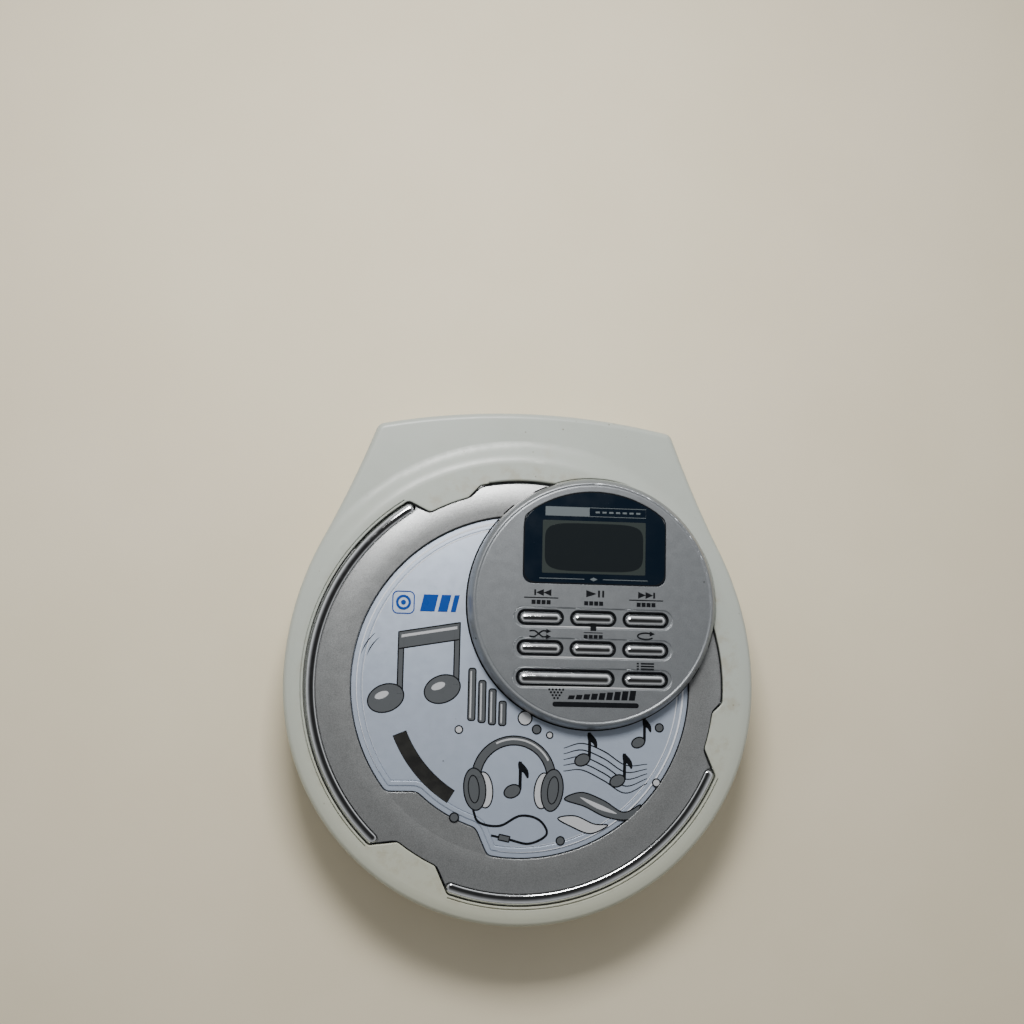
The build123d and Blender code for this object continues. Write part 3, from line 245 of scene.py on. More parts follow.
def make_chrome(name, keys=False):
    """Bright plating. The trim's crown leans outward from the disc axis, and the keys' toward the hinge."""
    tone, rough = (0.80, 0.81, 0.82), 0.07
    f = Finish(name, tone, rough, metallic=1.0, edge=0.1)
    slope = f.times(f.axis("Y"), -0.12) if keys else f.times(f.radius(), -0.15)
    f.bump(slope, 1.0)
    haze = f.step(f.noise(2.4, detail=5), 0.45, 0.80)
    f.colour(f.mix(f.times(haze, 0.3), tone, tuple(0.6 * part for part in tone)))
    f.rough(f.step(f.noise(3.0, detail=6), 0.35, 0.75, rough * 0.8, rough * 1.9))
    f.bump(f.noise(2.4, detail=1), 0.004)
    return f.material


def make_label_film():
    f = Finish("label_plate", (0.47, 0.50, 0.57), 0.34, metallic=0.35, edge=0.3, Coat_Weight=0.25, Coat_Roughness=0.12)
    tint = f.step(f.noise(30, detail=3), 0.35, 0.70)
    colour = f.mix(f.times(tint, 0.35), (0.48, 0.55, 0.67), (0.445, 0.50, 0.59))
    hairs = f.step(f.noise(1.1, detail=2, stretch=(1.0, 0.05, 1.0), distortion=2.0), 0.74, 0.79)
    colour = f.mix(f.times(hairs, 0.18), colour, (0.62, 0.63, 0.66))
    specks = f.step(f.cells(7.5), 0.045, 0.020)
    sparse = f.step(f.noise(15), 0.50, 0.58)
    colour = f.mix(f.times(specks, sparse, 0.7), colour, (0.05, 0.05, 0.05))
    f.colour(colour)
    f.rough(f.step(f.noise(3, detail=6), 0.3, 0.7, 0.32, 0.38))
    f.bump(f.times(f.axis("Y"), f.axis("Y"), -0.0008), 1.0)
    f.bump(f.times(f.axis("Y"), -0.02), 1.0)
    f.bump(f.noise(0.5, detail=2), 0.002)
    return f.material


def make_pod_paint():
    f = Finish("pod_silver", (0.33, 0.34, 0.355), 0.34, metallic=0.6, edge=0.3, Coat_Weight=0.15, Coat_Roughness=0.2)
    flakes = f.step(f.cells(0.18), 0.05, 0.75)
    colour = f.mix(flakes, (0.315, 0.335, 0.352), (0.240, 0.253, 0.268))
    # The lower flank is painted darker and browner all round, partly grime and partly painted shade on the side wall;
    # darker grime patches lie over it.
    low = f.step(f.axis("Z"), 31.8, 29.0)
    dirt = f.step(f.noise(2.6, detail=6, rough=0.65), 0.45, 0.72)
    colour = f.mix(f.times(low, 0.62), colour, (0.20, 0.18, 0.15))
    colour = f.mix(f.times(dirt, low, 0.55), colour, (0.07, 0.06, 0.05))
    # Chips show dark along the rim, where the player has been knocked.
    rim = f.step(f.radius(POD_X, POD_Y), 38.5, 39.3)
    chips = f.times(f.step(f.cells(1.9), 0.24, 0.13), f.step(f.noise(8, detail=5), 0.50, 0.60))
    colour = f.mix(f.times(rim, chips, 0.85), colour, (0.025, 0.022, 0.020))
    specks = f.step(f.cells(8.0), 0.050, 0.022)
    sparse = f.step(f.noise(17), 0.52, 0.60)
    colour = f.mix(f.times(specks, sparse, 0.8), colour, (0.03, 0.03, 0.03))
    f.colour(colour)
    f.rough(f.step(f.noise(3, detail=6), 0.3, 0.7, 0.33, 0.37))
    f.bump(f.cells(0.18), 0.006)
    return f.material


def make_plain(name, colour, roughness, metallic=0.0, depth=0.006, variation=0.09, **sockets):
    """A moulded, painted or metal finish with soft colour variation and a fine grain."""
    f = Finish(name, colour, roughness, metallic, **sockets)
    darker = tuple(part * (1 - variation) for part in colour)
    blotch = f.step(f.noise(6, detail=6), 0.35, 0.72)
    f.colour(f.mix(blotch, colour, darker))
    f.rough(f.step(f.noise(4, detail=5), 0.3, 0.75, roughness * 0.85, min(1.0, roughness * 1.25)))
    f.bump(f.noise(0.5, detail=3), depth)
    return f.material


def make_lens():
    f = Finish("display_lens", (0.004, 0.008, 0.015), 0.16, Specular_IOR_Level=0.35)
    dust = f.step(f.cells(2.8), 0.05, 0.02)
    colour = f.mix(f.times(dust, 0.25), (0.0038, 0.0085, 0.0160), (0.10, 0.11, 0.13))
    f.colour(colour)
    f.rough(f.step(f.noise(8, detail=6), 0.3, 0.7, 0.12, 0.24))
    return f.material


def make_window():
    f = Finish("smoked_window", (0.028, 0.028, 0.027), 0.22, Coat_Weight=0.3, Coat_Roughness=0.1)
    f.colour(f.mix(f.step(f.noise(5, detail=5), 0.35, 0.7), (0.030, 0.030, 0.028), (0.018, 0.018, 0.018)))
    return f.material


def make_ink_and_painted_light(name, colour, gloss=0.30):
    """Screen print, and painted shade and painted highlights: nearly flat colour that wears a little and keeps the
    plate's gloss.
    """
    f = Finish(name, colour, gloss, Specular_IOR_Level=0.12)
    worn = f.step(f.noise(0.9, detail=5, rough=0.7), 0.62, 0.80)
    f.colour(f.mix(f.times(worn, 0.10), colour, tuple(0.6 * part + 0.04 for part in colour)))
    f.rough(f.step(f.noise(3, detail=4), 0.3, 0.7, gloss * 0.85, gloss * 1.3))
    return f.material


def make_board():
    f = Finish("solder_mask", (0.02, 0.14, 0.06), 0.35, Coat_Weight=0.3, Coat_Roughness=0.15)
    tracks = f.step(f.cells(3.2, feature="DISTANCE_TO_EDGE"), 0.10, 0.06)
    f.colour(f.mix(tracks, (0.02, 0.14, 0.06), (0.03, 0.24, 0.10)))
    f.bump(tracks, 0.02)
    return f.material


FINISHES = {
    "case_plastic": make_case_plastic(),
    "lid_paint": make_lid_paint(),
    "trim_chrome": make_chrome("plated_trim"),
    "label_film": make_label_film(),
    "smoked_window": make_window(),
    "pod_paint": make_pod_paint(),
    "lens_smoke": make_lens(),
    "display_glass": make_plain("display_glass", (0.10, 0.12, 0.11), 0.2),
    "inner_plastic": make_plain("grey_plastic", (0.22, 0.23, 0.24), 0.5),
    "dark_plastic": make_plain("black_plastic", (0.022, 0.022, 0.024), 0.45),
    "circuit_board": make_board(),
    "rubber_black": make_plain("black_rubber", (0.018, 0.018, 0.018), 0.8, depth=0.02),
    "rubber_key": make_plain("key_rubber", (0.22, 0.23, 0.24), 0.7),
    "steel_bright": make_plain("bright_steel", (0.50, 0.50, 0.51), 0.28, metallic=1.0, depth=0.003),
    "contact_metal": make_plain("nickel_contact", (0.62, 0.60, 0.56), 0.22, metallic=1.0, depth=0.003),
    "capacitor_can": make_plain("capacitor_can", (0.55, 0.56, 0.58), 0.3, metallic=1.0, depth=0.003),
    "ribbon_film": make_plain("ribbon_film", (0.45, 0.20, 0.04), 0.35),
    "pickup_glass": make_plain("pickup_glass", (0.03, 0.05, 0.16), 0.06, variation=0.4, Coat_Weight=0.5),
}

for entry in frame["record"]["subparts"]:
    node = nodes[entry["node"]]
    node.data.materials.clear()
    node.data.materials.append(FINISHES[entry["material_slot"]])

# ---------------------------------------------------------------- mesh helpers


def new_object(name, mesh, *materials):
    """Put a mesh in the scene with its materials."""
    piece = bpy.data.objects.new(name, mesh)
    bpy.context.scene.collection.objects.link(piece)
    for material in materials:
        mesh.materials.append(material)
    return piece


def finish_mesh(bm, name, sharp=35.0):
    """Turn a bmesh in millimetres into a smooth-shaded mesh in metres with crisp corners."""
    bmesh.ops.remove_doubles(bm, verts=bm.verts, dist=1e-5)
    bmesh.ops.recalc_face_normals(bm, faces=bm.faces)
    bmesh.ops.scale(bm, vec=(MM, MM, MM), verts=bm.verts)
    mesh = bpy.data.meshes.new(name)
    bm.to_mesh(mesh)
    bm.free()
    mesh.shade_smooth()
    mesh.set_sharp_from_angle(angle=radians(sharp))
    return mesh


def add_loft(bm, rings):
    """Skin a run of rings, each a closed loop with the same number of points, and close both ends."""
    loops = [[bm.verts.new(point) for point in ring] for ring in rings]
    for lower, upper in zip(loops, loops[1:]):
        for index in range(len(lower)):
            after = (index + 1) % len(lower)
            bm.faces.new((lower[index], lower[after], upper[after], upper[index]))
    bm.faces.new(list(reversed(loops[0])))
    bm.faces.new(loops[-1])


def add_plate(bm, outline, low, high):
    """A thin closed plate with a flat outline, from one height to another."""
    add_loft(bm, [[(x, y, low) for x, y in outline], [(x, y, high) for x, y in outline]])


def add_stroke(bm, points, width, low, high, closed=False, taper=0.0):
    """A drawn line with a width, as a thin closed ribbon; taper narrows an open line's ends."""
    count = len(points)
    left, right = [], []
    for index, (x, y) in enumerate(points):
        before = points[index - 1] if closed or index > 0 else points[index]
        after = points[(index + 1) % count] if closed or index < count - 1 else points[index]
        dx, dy = after[0] - before[0], after[1] - before[1]
        length = hypot(dx, dy) or 1.0
        share = index / max(1, count - 1)
        half = width / 2 * (1 - taper * (1 - sin(pi * share)))
        left.append((x - dy / length * half, y + dx / length * half))
        right.append((x + dy / length * half, y - dx / length * half))
    tops = [(bm.verts.new((*a, high)), bm.verts.new((*b, high))) for a, b in zip(left, right)]
    feet = [(bm.verts.new((*a, low)), bm.verts.new((*b, low))) for a, b in zip(left, right)]
    for index in range(count if closed else count - 1):
        after = (index + 1) % count
        (top_a, top_b), (next_a, next_b) = tops[index], tops[after]
        (foot_a, foot_b), (below_a, below_b) = feet[index], feet[after]
        bm.faces.new((top_a, top_b, next_b, next_a))
        bm.faces.new((foot_a, below_a, below_b, foot_b))
        bm.faces.new((top_a, next_a, below_a, foot_a))
        bm.faces.new((top_b, foot_b, below_b, next_b))
    if not closed:
        for (top_a, top_b), (foot_a, foot_b) in ((tops[0], feet[0]), (tops[-1], feet[-1])):
            bm.faces.new((top_a, foot_a, foot_b, top_b))


def ellipse(x, y, a, b, turn=0.0, count=40, start=0.0, sweep=360.0):
    """Points round an ellipse, or along part of one, with its long axis turned by degrees."""
    points = []
    full = sweep == 360.0
    for index in range(count):
        angle = radians(start + sweep * index / (count if full else count - 1))
        px, py = a * cos(angle), b * sin(angle)
        lean = radians(turn)
        points.append((x + px * cos(lean) - py * sin(lean), y + px * sin(lean) + py * cos(lean)))
    return points


def box_points(x0, y0, x1, y1, lean=0.0):
    """A rectangle whose top is pushed sideways by lean."""
    return [(x0, y0), (x1, y0), (x1 + lean, y1), (x0 + lean, y1)]


def rounded_box(x0, y0, x1, y1, radius):
    """A rectangle with round corners."""
    steps = 8
    points = []
    for corner_x, corner_y, start in (
        (x1 - radius, y0 + radius, -90),
        (x1 - radius, y1 - radius, 0),
        (x0 + radius, y1 - radius, 90),
        (x0 + radius, y0 + radius, 180),
    ):
        for step in range(steps + 1):
            angle = radians(start + 90 * step / steps)
            points.append((corner_x + radius * cos(angle), corner_y + radius * sin(angle)))
    return points


def flowing(controls, closed=False):
    """A smooth line through a few control points."""
    steps = 10
    count = len(controls)
    points = []
    for index in range(count if closed else count - 1):
        if closed:
            a, b, c, d = (Vector(controls[(index + shift) % count]) for shift in (-1, 0, 1, 2))
        else:
            b, c = Vector(controls[index]), Vector(controls[index + 1])
            a = Vector(controls[index - 1]) if index else b * 2 - c
            d = Vector(controls[index + 2]) if index + 2 < count else c * 2 - b
        for step in range(steps):
            t = step / steps
            point = 0.5 * (2 * b + (c - a) * t + (2 * a - 5 * b + 4 * c - d) * t**2 + (3 * b - a - 3 * c + d) * t**3)
            points.append((point.x, point.y))
    if not closed:
        points.append(tuple(controls[-1]))
    return points


def pill_ring(x, y, z, half, radius, count=18):
    """A level ring with two straight sides and round ends."""
    ring = []
    for side in (1, -1):
        for step in range(count + 1):
            angle = radians(-90 + 180 * step / count)
            ring.append((x + side * (half + radius * cos(angle)), y + side * radius * sin(angle), z))
    return ring


# ---------------------------------------------------------------- keys and trim

CHROME = FINISHES["trim_chrome"]
KEY_CHROME = make_chrome("plated_key", keys=True)
BLACK = make_plain("gap_black", (0.010, 0.010, 0.011), 0.6)
# Dark ink, which also paints shade along gaps and edges
DARK_INK_AND_SHADE = make_ink_and_painted_light("dark_ink_and_shade", (0.004, 0.005, 0.007), gloss=0.5)
INK_GREY = make_ink_and_painted_light("ink_grey", (0.092, 0.099, 0.106))
INK_PALE = make_ink_and_painted_light("ink_pale", (0.50, 0.51, 0.53))
INK_BLUE = make_ink_and_painted_light("ink_blue", (0.008, 0.060, 0.30))

KEYS = ("back", "play", "next", "random", "stop", "mode", "long", "prog")
FLANGE_REACH, FLANGE_THICK = 0.9, 0.6
CROWN = 1.4


def key_pill(key, inset):
    """A key's corners and middle, and its pill outline's straight half and radius at an inset from the flange."""
    low, high = (Vector(corner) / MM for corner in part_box(f"button_{key}"))
    radius = (high.y - low.y) / 2 - inset
    return low, high, (low + high) / 2, (high.x - low.x) / 2 - inset - radius, radius


def make_key(key):
    """A plated pill with a domed top, a straight waist and a dark flange below the cover."""
    low, high, middle, half, waist = key_pill(key, FLANGE_REACH)
    shoulder = high.z - CROWN - 0.02
    rings = [
        pill_ring(middle.x, middle.y, low.z, half, waist + FLANGE_REACH),
        pill_ring(middle.x, middle.y, low.z + FLANGE_THICK, half, waist + FLANGE_REACH),
        pill_ring(middle.x, middle.y, low.z + FLANGE_THICK, half, waist),
        pill_ring(middle.x, middle.y, shoulder, half, waist),
    ]
    for step in range(1, 13):
        lift = radians(86 * step / 12)
        rings.append(pill_ring(middle.x, middle.y, shoulder + CROWN * sin(lift), half, waist * cos(lift)))
    bm = bmesh.new()
    add_loft(bm, rings)
    mesh = finish_mesh(bm, f"key_{key}")
    piece = new_object(f"key_{key}", mesh, KEY_CHROME, BLACK)
    for face in mesh.polygons:
        if face.center.z < (low.z + FLANGE_THICK + 0.1) * MM:
            face.material_index = 1
    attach(piece, f"key_{key}")
    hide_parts(f"button_{key}")


for key in KEYS:
    make_key(key)

TRIM_R = 66.95
TRIM_HALF = 1.62
TRIM_END = 1.6
TRIM_FOOT = 0.15


def make_trim(name, start, sweep):
    """A bar of half-round trim that follows the lid's edge, with rounded ends."""
    low, high = (corner[2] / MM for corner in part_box(name))
    steps = 150
    reach = radians(sweep) * TRIM_R + 2 * TRIM_END
    rings = []
    for step in range(steps + 1):
        # More sections gather near both ends, where the bar closes.
        along = reach * (0.5 - 0.5 * cos(pi * step / steps))
        end = min(along, reach - along)
        full = min(1.0, max(0.02, 1 - (1 - min(end, TRIM_END) / TRIM_END) ** 2)) ** 0.5
        angle = radians(start) + (along - TRIM_END) / TRIM_R
        ring = []
        for turn in range(19):
            side = radians(180 * turn / 18)
            radius = TRIM_R - TRIM_HALF * full * cos(side)
            z = low + TRIM_FOOT + (high - low - TRIM_FOOT) * full * sin(side) ** 0.8
            ring.append((radius * cos(angle), radius * sin(angle), z))
        for side in (1, -1):
            radius = TRIM_R + side * TRIM_HALF * full
            ring.append((radius * cos(angle), radius * sin(angle), low))
        rings.append(ring)
    bm = bmesh.new()
    add_loft(bm, rings)
    piece = new_object(name.replace("chrome", "trim"), finish_mesh(bm, name, sharp=60), CHROME)
    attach(piece, "lid")
    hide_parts(name)


make_trim("chrome_strip_left", 124.0, 102.6)
make_trim("chrome_strip_front", 251.8, 84.2)

# ---------------------------------------------------------------- printed markings, painted shade and painted highlights

# Every plate of print lies this much above the one before it.
LAYER = 0.0008


def dense(outline):
    """The same closed outline with more points, so that a line along it keeps its width."""
    points = []
    for index, (x, y) in enumerate(outline):
        next_x, next_y = outline[(index + 1) % len(outline)]
        pieces = max(1, int(hypot(next_x - x, next_y - y) / 0.5))
        points += [(x + (next_x - x) * k / pieces, y + (next_y - y) * k / pieces) for k in range(pieces)]
    return points


class PrintAndPaintedLight:
    """One colour of print on a level surface, built up as thin plates and then made a piece. Some of these pieces are
    painted shade and painted highlights instead of print.

    Each plate lies a hair above everything printed before it, so later marks cover earlier ones.
    """

    plates = 0

    def __init__(self, name, height, material):
        self.name, self.material, self.height = name, material, height
        self.bm = bmesh.new()

    def span(self):
        PrintAndPaintedLight.plates += 1
        return self.height - 0.005, self.height + 0.02 + LAYER * PrintAndPaintedLight.plates

    def fill(self, outline):
        add_plate(self.bm, outline, *self.span())

    def line(self, points, width, closed=False, taper=0.0):
        add_stroke(self.bm, points, width, *self.span(), closed, taper)

    def done(self):
        piece = new_object(self.name, finish_mesh(self.bm, self.name), self.material)
        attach(piece, "lid")


def smoothed(points, rounds):
    """A closed line of vectors with its corners rounded, each round averaging a point with its neighbours."""
    for _ in range(rounds):
        points = [(points[i - 1] + 2 * points[i] + points[(i + 1) % len(points)]) / 4 for i in range(len(points))]
    return points


def line_where(ink, points, wanted, width):
    """Draw the stretches of a line whose points are wanted."""
    run = []
    for x, y in points:
        if wanted(x, y):
            run.append((x, y))
        else:
            if len(run) > 2:
                ink.line(run, width)
            run = []
    if len(run) > 2:
        ink.line(run, width)


# The lid's outline and the edge of its label, as in the part: angle in degrees, radius
SEAM_KNOTS = [(-3.8, 65.3), (102.9, 65.3), (107.1, 62.3), (119.3, 62.3), (123.0, 69.0), (227.1, 69.0),
              (232.5, 62.3), (245.4, 62.3), (251.5, 69.0), (336.3, 69.0), (342.3, 62.3), (353.1, 62.3)]
LABEL_KNOTS = [(-100.5, 54.45), (219.0, 54.45), (226.5, 47.1), (253.0, 47.1)]


def ring_line(knots, inset, rounding):
    """A closed line just inside an outline of arcs and ramps about the disc axis, corners rounded."""
    points = []
    for (angle, radius), (next_angle, next_radius) in zip(knots, knots[1:] + [(knots[0][0] + 360, knots[0][1])]):
        start = Vector((radius * cos(radians(angle)), radius * sin(radians(angle))))
        finish = Vector((next_radius * cos(radians(next_angle)), next_radius * sin(radians(next_angle))))
        level = radius == next_radius
        pieces = max(1, int((next_angle - angle) * 2.5) if level else int((finish - start).length / 0.4))
        for piece in range(pieces):
            share = piece / pieces
            if level:
                way = radians(angle + (next_angle - angle) * share)
                points.append(Vector((radius * cos(way), radius * sin(way))))
            else:
                points.append(start.lerp(finish, share))
    points = smoothed(points, rounding)
    line = []
    for index, point in enumerate(points):
        along = (points[(index + 1) % len(points)] - points[index - 1]).normalized()
        line.append((point.x - along.y * inset, point.y + along.x * inset))
    return line


# The angles, in degrees, between which a trim strip runs beside the lid's edge
TRIM_SIDES = ((123.5, 227.0), (251.2, 336.6))


def beside_no_trim(x, y):
    """Whether no trim strip runs beside this point of the lid's edge."""
    angle = atan2(y, x) * 180 / pi % 360
    return not any(start < angle < end for start, end in TRIM_SIDES)


# Painted shade darkens the lid's edge wherever no trim strip runs beside it, and a painted shadow lines the label's
# edge all round.
seam_shade = PrintAndPaintedLight("seam_shade", LID_TOP, DARK_INK_AND_SHADE)
line_where(seam_shade, ring_line(SEAM_KNOTS, 0.37, 12), beside_no_trim, 0.32)
seam_shade.done()
edge_shadow = PrintAndPaintedLight("label_edge_shadow", LABEL_TOP, DARK_INK_AND_SHADE)
edge_shadow.line(ring_line(LABEL_KNOTS, 0.34, 16), 0.24, closed=True)
edge_shadow.done()
# Painted highlight: two pale lines on the label's raised border stand for the light it catches.
edge_highlight = PrintAndPaintedLight("label_edge_highlight", LABEL_TOP, make_ink_and_painted_light("painted_highlight_ink", (0.80, 0.82, 0.87)))
edge_highlight.line(ellipse(0, 0, 52.35, 52.35, start=-97, sweep=309, count=240), 0.75, taper=0.9)
edge_highlight.line(ellipse(0, 0, 50.55, 50.55, start=-95, sweep=305, count=240), 0.42, taper=0.9)
edge_highlight.done()


def pod_base_shadow(name, height, low, high):
    """A fine dark line of painted shadow round the pod's foot, where its distance from the disc axis is low to high.
    """
    foot = PrintAndPaintedLight(name, height, DARK_INK_AND_SHADE)
    circle = ellipse(POD_X, POD_Y, 40.42, 40.42, count=360)
    line_where(foot, circle, lambda x, y: low < hypot(x, y) < high, 0.46)
    foot.done()


# Painted shadow round the pod's foot, on the label and on the ring
pod_base_shadow("pod_foot_label", LABEL_TOP, 0.0, 53.9)
pod_base_shadow("pod_foot_ring", LID_TOP, 55.0, 64.7)

# Transport symbols and fine rules above the keys
PrintAndPaintedLight.plates = 0
COLUMN = (5.15, 22.05, 39.0)
ROW = (21.55, 11.9, 2.5)
TRANSPORT_Y = 29.4
symbols = PrintAndPaintedLight("pod_symbols", POD_TOP, DARK_INK_AND_SHADE)


def arrow(x, y, way, length=2.5, half=1.1):
    """A solid arrowhead that points right, or left where way is -1."""
    symbols.fill([(x, y - half), (x + way * length, y), (x, y + half)][:: way])


symbols.fill(box_points(2.9, 28.45, 3.5, 30.35))
arrow(6.0, TRANSPORT_Y, -1)
arrow(8.4, TRANSPORT_Y, -1)
arrow(19.6, TRANSPORT_Y, 1, length=3.4, half=1.15)
symbols.fill(box_points(23.4, 28.3, 24.05, 30.5))
symbols.fill(box_points(24.75, 28.3, 25.4, 30.5))
arrow(36.4, TRANSPORT_Y, 1)
arrow(38.8, TRANSPORT_Y, 1)
symbols.fill(box_points(41.3, 28.45, 41.9, 30.35))
for column_x in (COLUMN[0], COLUMN[2]):
    symbols.line([(column_x - 5.5, 27.75), (column_x + 5.5, 27.75)], 0.36)
symbols.fill(box_points(21.1, 17.6, 23.0, 19.3))
symbols.line([(19.0, 17.0), (25.1, 17.0)], 0.28)


def caption(x, y, blocks, tall=1.35):
    """A row of plain blocks where a word would be."""
    for block in range(blocks):
        start = x + (block - blocks / 2) * 1.6 + 0.15
        symbols.fill(box_points(start, y - tall / 2, start + 1.3, y + tall / 2))


for column_x in COLUMN:
    caption(column_x, 26.35, 4)
caption(COLUMN[1], 15.75, 4, tall=1.2)
# Two crossing arrows, a loop with an arrow, and a short list
for rise in (0.85, -0.85):
    wave = [(1.6, 16.3 + rise), (3.4, 16.3 + rise), (5.7, 16.3 - rise), (7.2, 16.3 - rise)]
    symbols.line(flowing(wave), 0.5)
    arrow(7.0, 16.3 - rise, 1, length=1.6, half=0.75)
symbols.line(ellipse(39.0, 16.35, 2.6, 1.0, count=30, start=40, sweep=290), 0.5)
arrow(40.3, 17.1, 1, length=1.7, half=0.8)
for row in range(3):
    for left, right in ((36.2, 36.9), (37.5, 41.8)):
        symbols.fill(box_points(left, 5.65 + row * 0.85, right, 6.15 + row * 0.85))
# A dotted wedge, rising level bars and a rounded rule at the pod's foot
for row in range(4):
    for dot in range(5 - row):
        symbols.fill(ellipse(8.3 + row * 0.55 + dot * 1.1, -1.15 - row * 0.9, 0.36, 0.36, count=10))
for bar in range(9):
    tall = 1.2 + 0.24 * bar
    symbols.fill(box_points(14.2 + bar * 2.45, -4.1, 16.1 + bar * 2.45, -4.1 + tall, lean=0.45))
symbols.fill(rounded_box(9.4, -6.5, 37.0, -4.95, 0.75))
symbols.done()

# Painted shade lines the key openings, and painted highlights run along the troughs' near edges.
PrintAndPaintedLight.plates = 0
TROUGH = POD_TOP - 0.4
key_gap_shade = PrintAndPaintedLight("key_gap_shade", TROUGH, DARK_INK_AND_SHADE)
for key in KEYS:
    low, high, middle, half, radius = key_pill(key, 0.38)
    ring = [(x, y) for x, y, z in pill_ring(middle.x, middle.y, 0, half, radius)]
    key_gap_shade.line(dense(ring), 0.50, closed=True)
key_gap_shade.done()
# Pale lines along each trough's near edge are a painted highlight.
wear_and_highlight = PrintAndPaintedLight("trough_edges", TROUGH, make_ink_and_painted_light("trough_highlight_ink", (0.64, 0.65, 0.66)))
for row_y in ROW:
    wear_and_highlight.line([(-0.6 + step * 1.164, row_y - 2.82) for step in range(40)], 0.34, taper=0.7)
wear_and_highlight.done()

# The display behind its lens, with painted shade as a fine black line along the lens's edge
PrintAndPaintedLight.plates = 0
LENS_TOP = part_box("lcd_lens")[1][2] / MM
pod_middle = Vector((POD_X, POD_Y))
lens_outline = []
for point in dense(rounded_box(-0.65, 32.55, 45.05, 66.05, 3.0)):
    # The lens's upper side follows the pod's rim.
    away = Vector(point) - pod_middle
    lens_outline.append(pod_middle + away * min(1.0, 35.55 / away.length))
lens_edge_shade = PrintAndPaintedLight("lens_edge_shade", LENS_TOP, DARK_INK_AND_SHADE)
lens_edge_shade.line(smoothed(lens_outline, 12), 0.34, closed=True)
lens_edge_shade.done()
screen_edge = PrintAndPaintedLight("display_frame", LENS_TOP, make_ink_and_painted_light("display_frame", (0.036, 0.044, 0.042), gloss=0.16))
screen_edge.fill(rounded_box(5.2, 35.7, 38.6, 52.7, 0.4))
screen_edge.done()
screen = PrintAndPaintedLight("display_screen", LENS_TOP, make_ink_and_painted_light("display_screen", (0.0125, 0.0155, 0.0175), gloss=0.14))
DISPLAY_X = 21.9
soft_box = []
for index in range(96):
    angle = 2 * pi * index / 96
    squash = (abs(cos(angle)) ** 5 + abs(sin(angle)) ** 5) ** (-1 / 5)
    soft_box.append((DISPLAY_X + 15.9 * squash * cos(angle), 44.2 + 7.7 * squash * sin(angle)))
screen.fill(soft_box)
screen.done()
legend = PrintAndPaintedLight("display_legend", LENS_TOP, make_ink_and_painted_light("display_legend", (0.13, 0.15, 0.16), gloss=0.2))
legend.fill(box_points(6.0, 54.1, 20.3, 57.1))
legend.line([(20.3, 54.2), (38.6, 54.2), (38.6, 57.0), (20.3, 57.0)], 0.2)
for dash in range(7):
    legend.fill(box_points(22.2 + dash * 2.2, 55.3, 23.6 + dash * 2.2, 55.9))
for side in (-1, 1):
    legend.line([(DISPLAY_X + side * 3.0, 34.0), (DISPLAY_X + side * 17.5, 34.0)], 0.25)
legend.fill([(DISPLAY_X - 1.3, 34.0), (DISPLAY_X, 33.4), (DISPLAY_X + 1.3, 34.0), (DISPLAY_X, 34.6)])
legend.done()

# The label's print: beamed notes, level bars, headphones, a stave that waves, and bubbles
PrintAndPaintedLight.plates = 0
grey = PrintAndPaintedLight("label_print_grey", LABEL_TOP, INK_GREY)
pale = PrintAndPaintedLight("label_print_pale", LABEL_TOP, INK_PALE)
dark = PrintAndPaintedLight("label_print_dark", LABEL_TOP, DARK_INK_AND_SHADE)
OUTLINE = 0.42


def shape(outline, ink=grey):
    """A filled shape with a dark outline."""
    ink.fill(outline)
    dark.line(dense(outline), OUTLINE, closed=True)


def arch(x, y, outer, inner, start, sweep):
    """The outline of a band bent along part of a circle."""
    rim = ellipse(x, y, outer, outer, start=start, sweep=sweep, count=48)
    return rim + ellipse(x, y, inner, inner, start=start, sweep=sweep, count=48)[::-1]


def note(x, y, size):
    """A single note with a head, a stem and a tail."""
    stem_x = x + size * 0.80
    shape(box_points(stem_x, y + size * 0.2, stem_x + size * 0.22, y + size * 3.4), dark)
    tail = [(stem_x, y + size * 3.4), (stem_x + size * 0.9, y + size * 2.5), (stem_x + size, y + size * 1.6),
            (stem_x + size * 0.55, y + size * 2.2), (stem_x, y + size * 2.5)]
    shape(flowing(tail, closed=True), dark)
    shape(ellipse(x, y, size, size * 0.72, turn=24))


# Beamed notes in the upper left
HEADS = ((-43.0, -5.0), (-25.2, -1.8))
for head_x, head_y in HEADS:
    shape(box_points(head_x + 3.5, head_y + 1.5, head_x + 5.2, head_y + 21.0))
shape([(-39.5, 10.6), (-20.0, 14.0), (-20.0, 19.4), (-39.5, 16.0)])
pale.fill([(-38.6, 14.2), (-20.9, 17.3), (-20.9, 18.2), (-38.6, 15.1)])
for head_x, head_y in HEADS:
    shape(ellipse(head_x, head_y, 5.9, 4.3, turn=22))
    pale.fill(ellipse(head_x - 1.3, head_y + 0.9, 2.3, 1.1, turn=22))
for reach in (0, 1.9):
    dark.line(ellipse(-38.0, 5.0, 11.8 + reach, 11.8 + reach, start=130, sweep=34, count=16), 0.35, taper=0.8)

# Level bars above the middle
for x, foot, top in ((-16.9, -11.5, 5.0), (-13.6, -12.1, 1.2), (-10.3, -12.7, -1.4), (-7.0, -12.9, -5.2)):
    shape(rounded_box(x, foot, x + 2.3, top, 0.8))
    pale.fill(rounded_box(x + 0.55, foot + 0.7, x + 1.05, top - 0.9, 0.2))

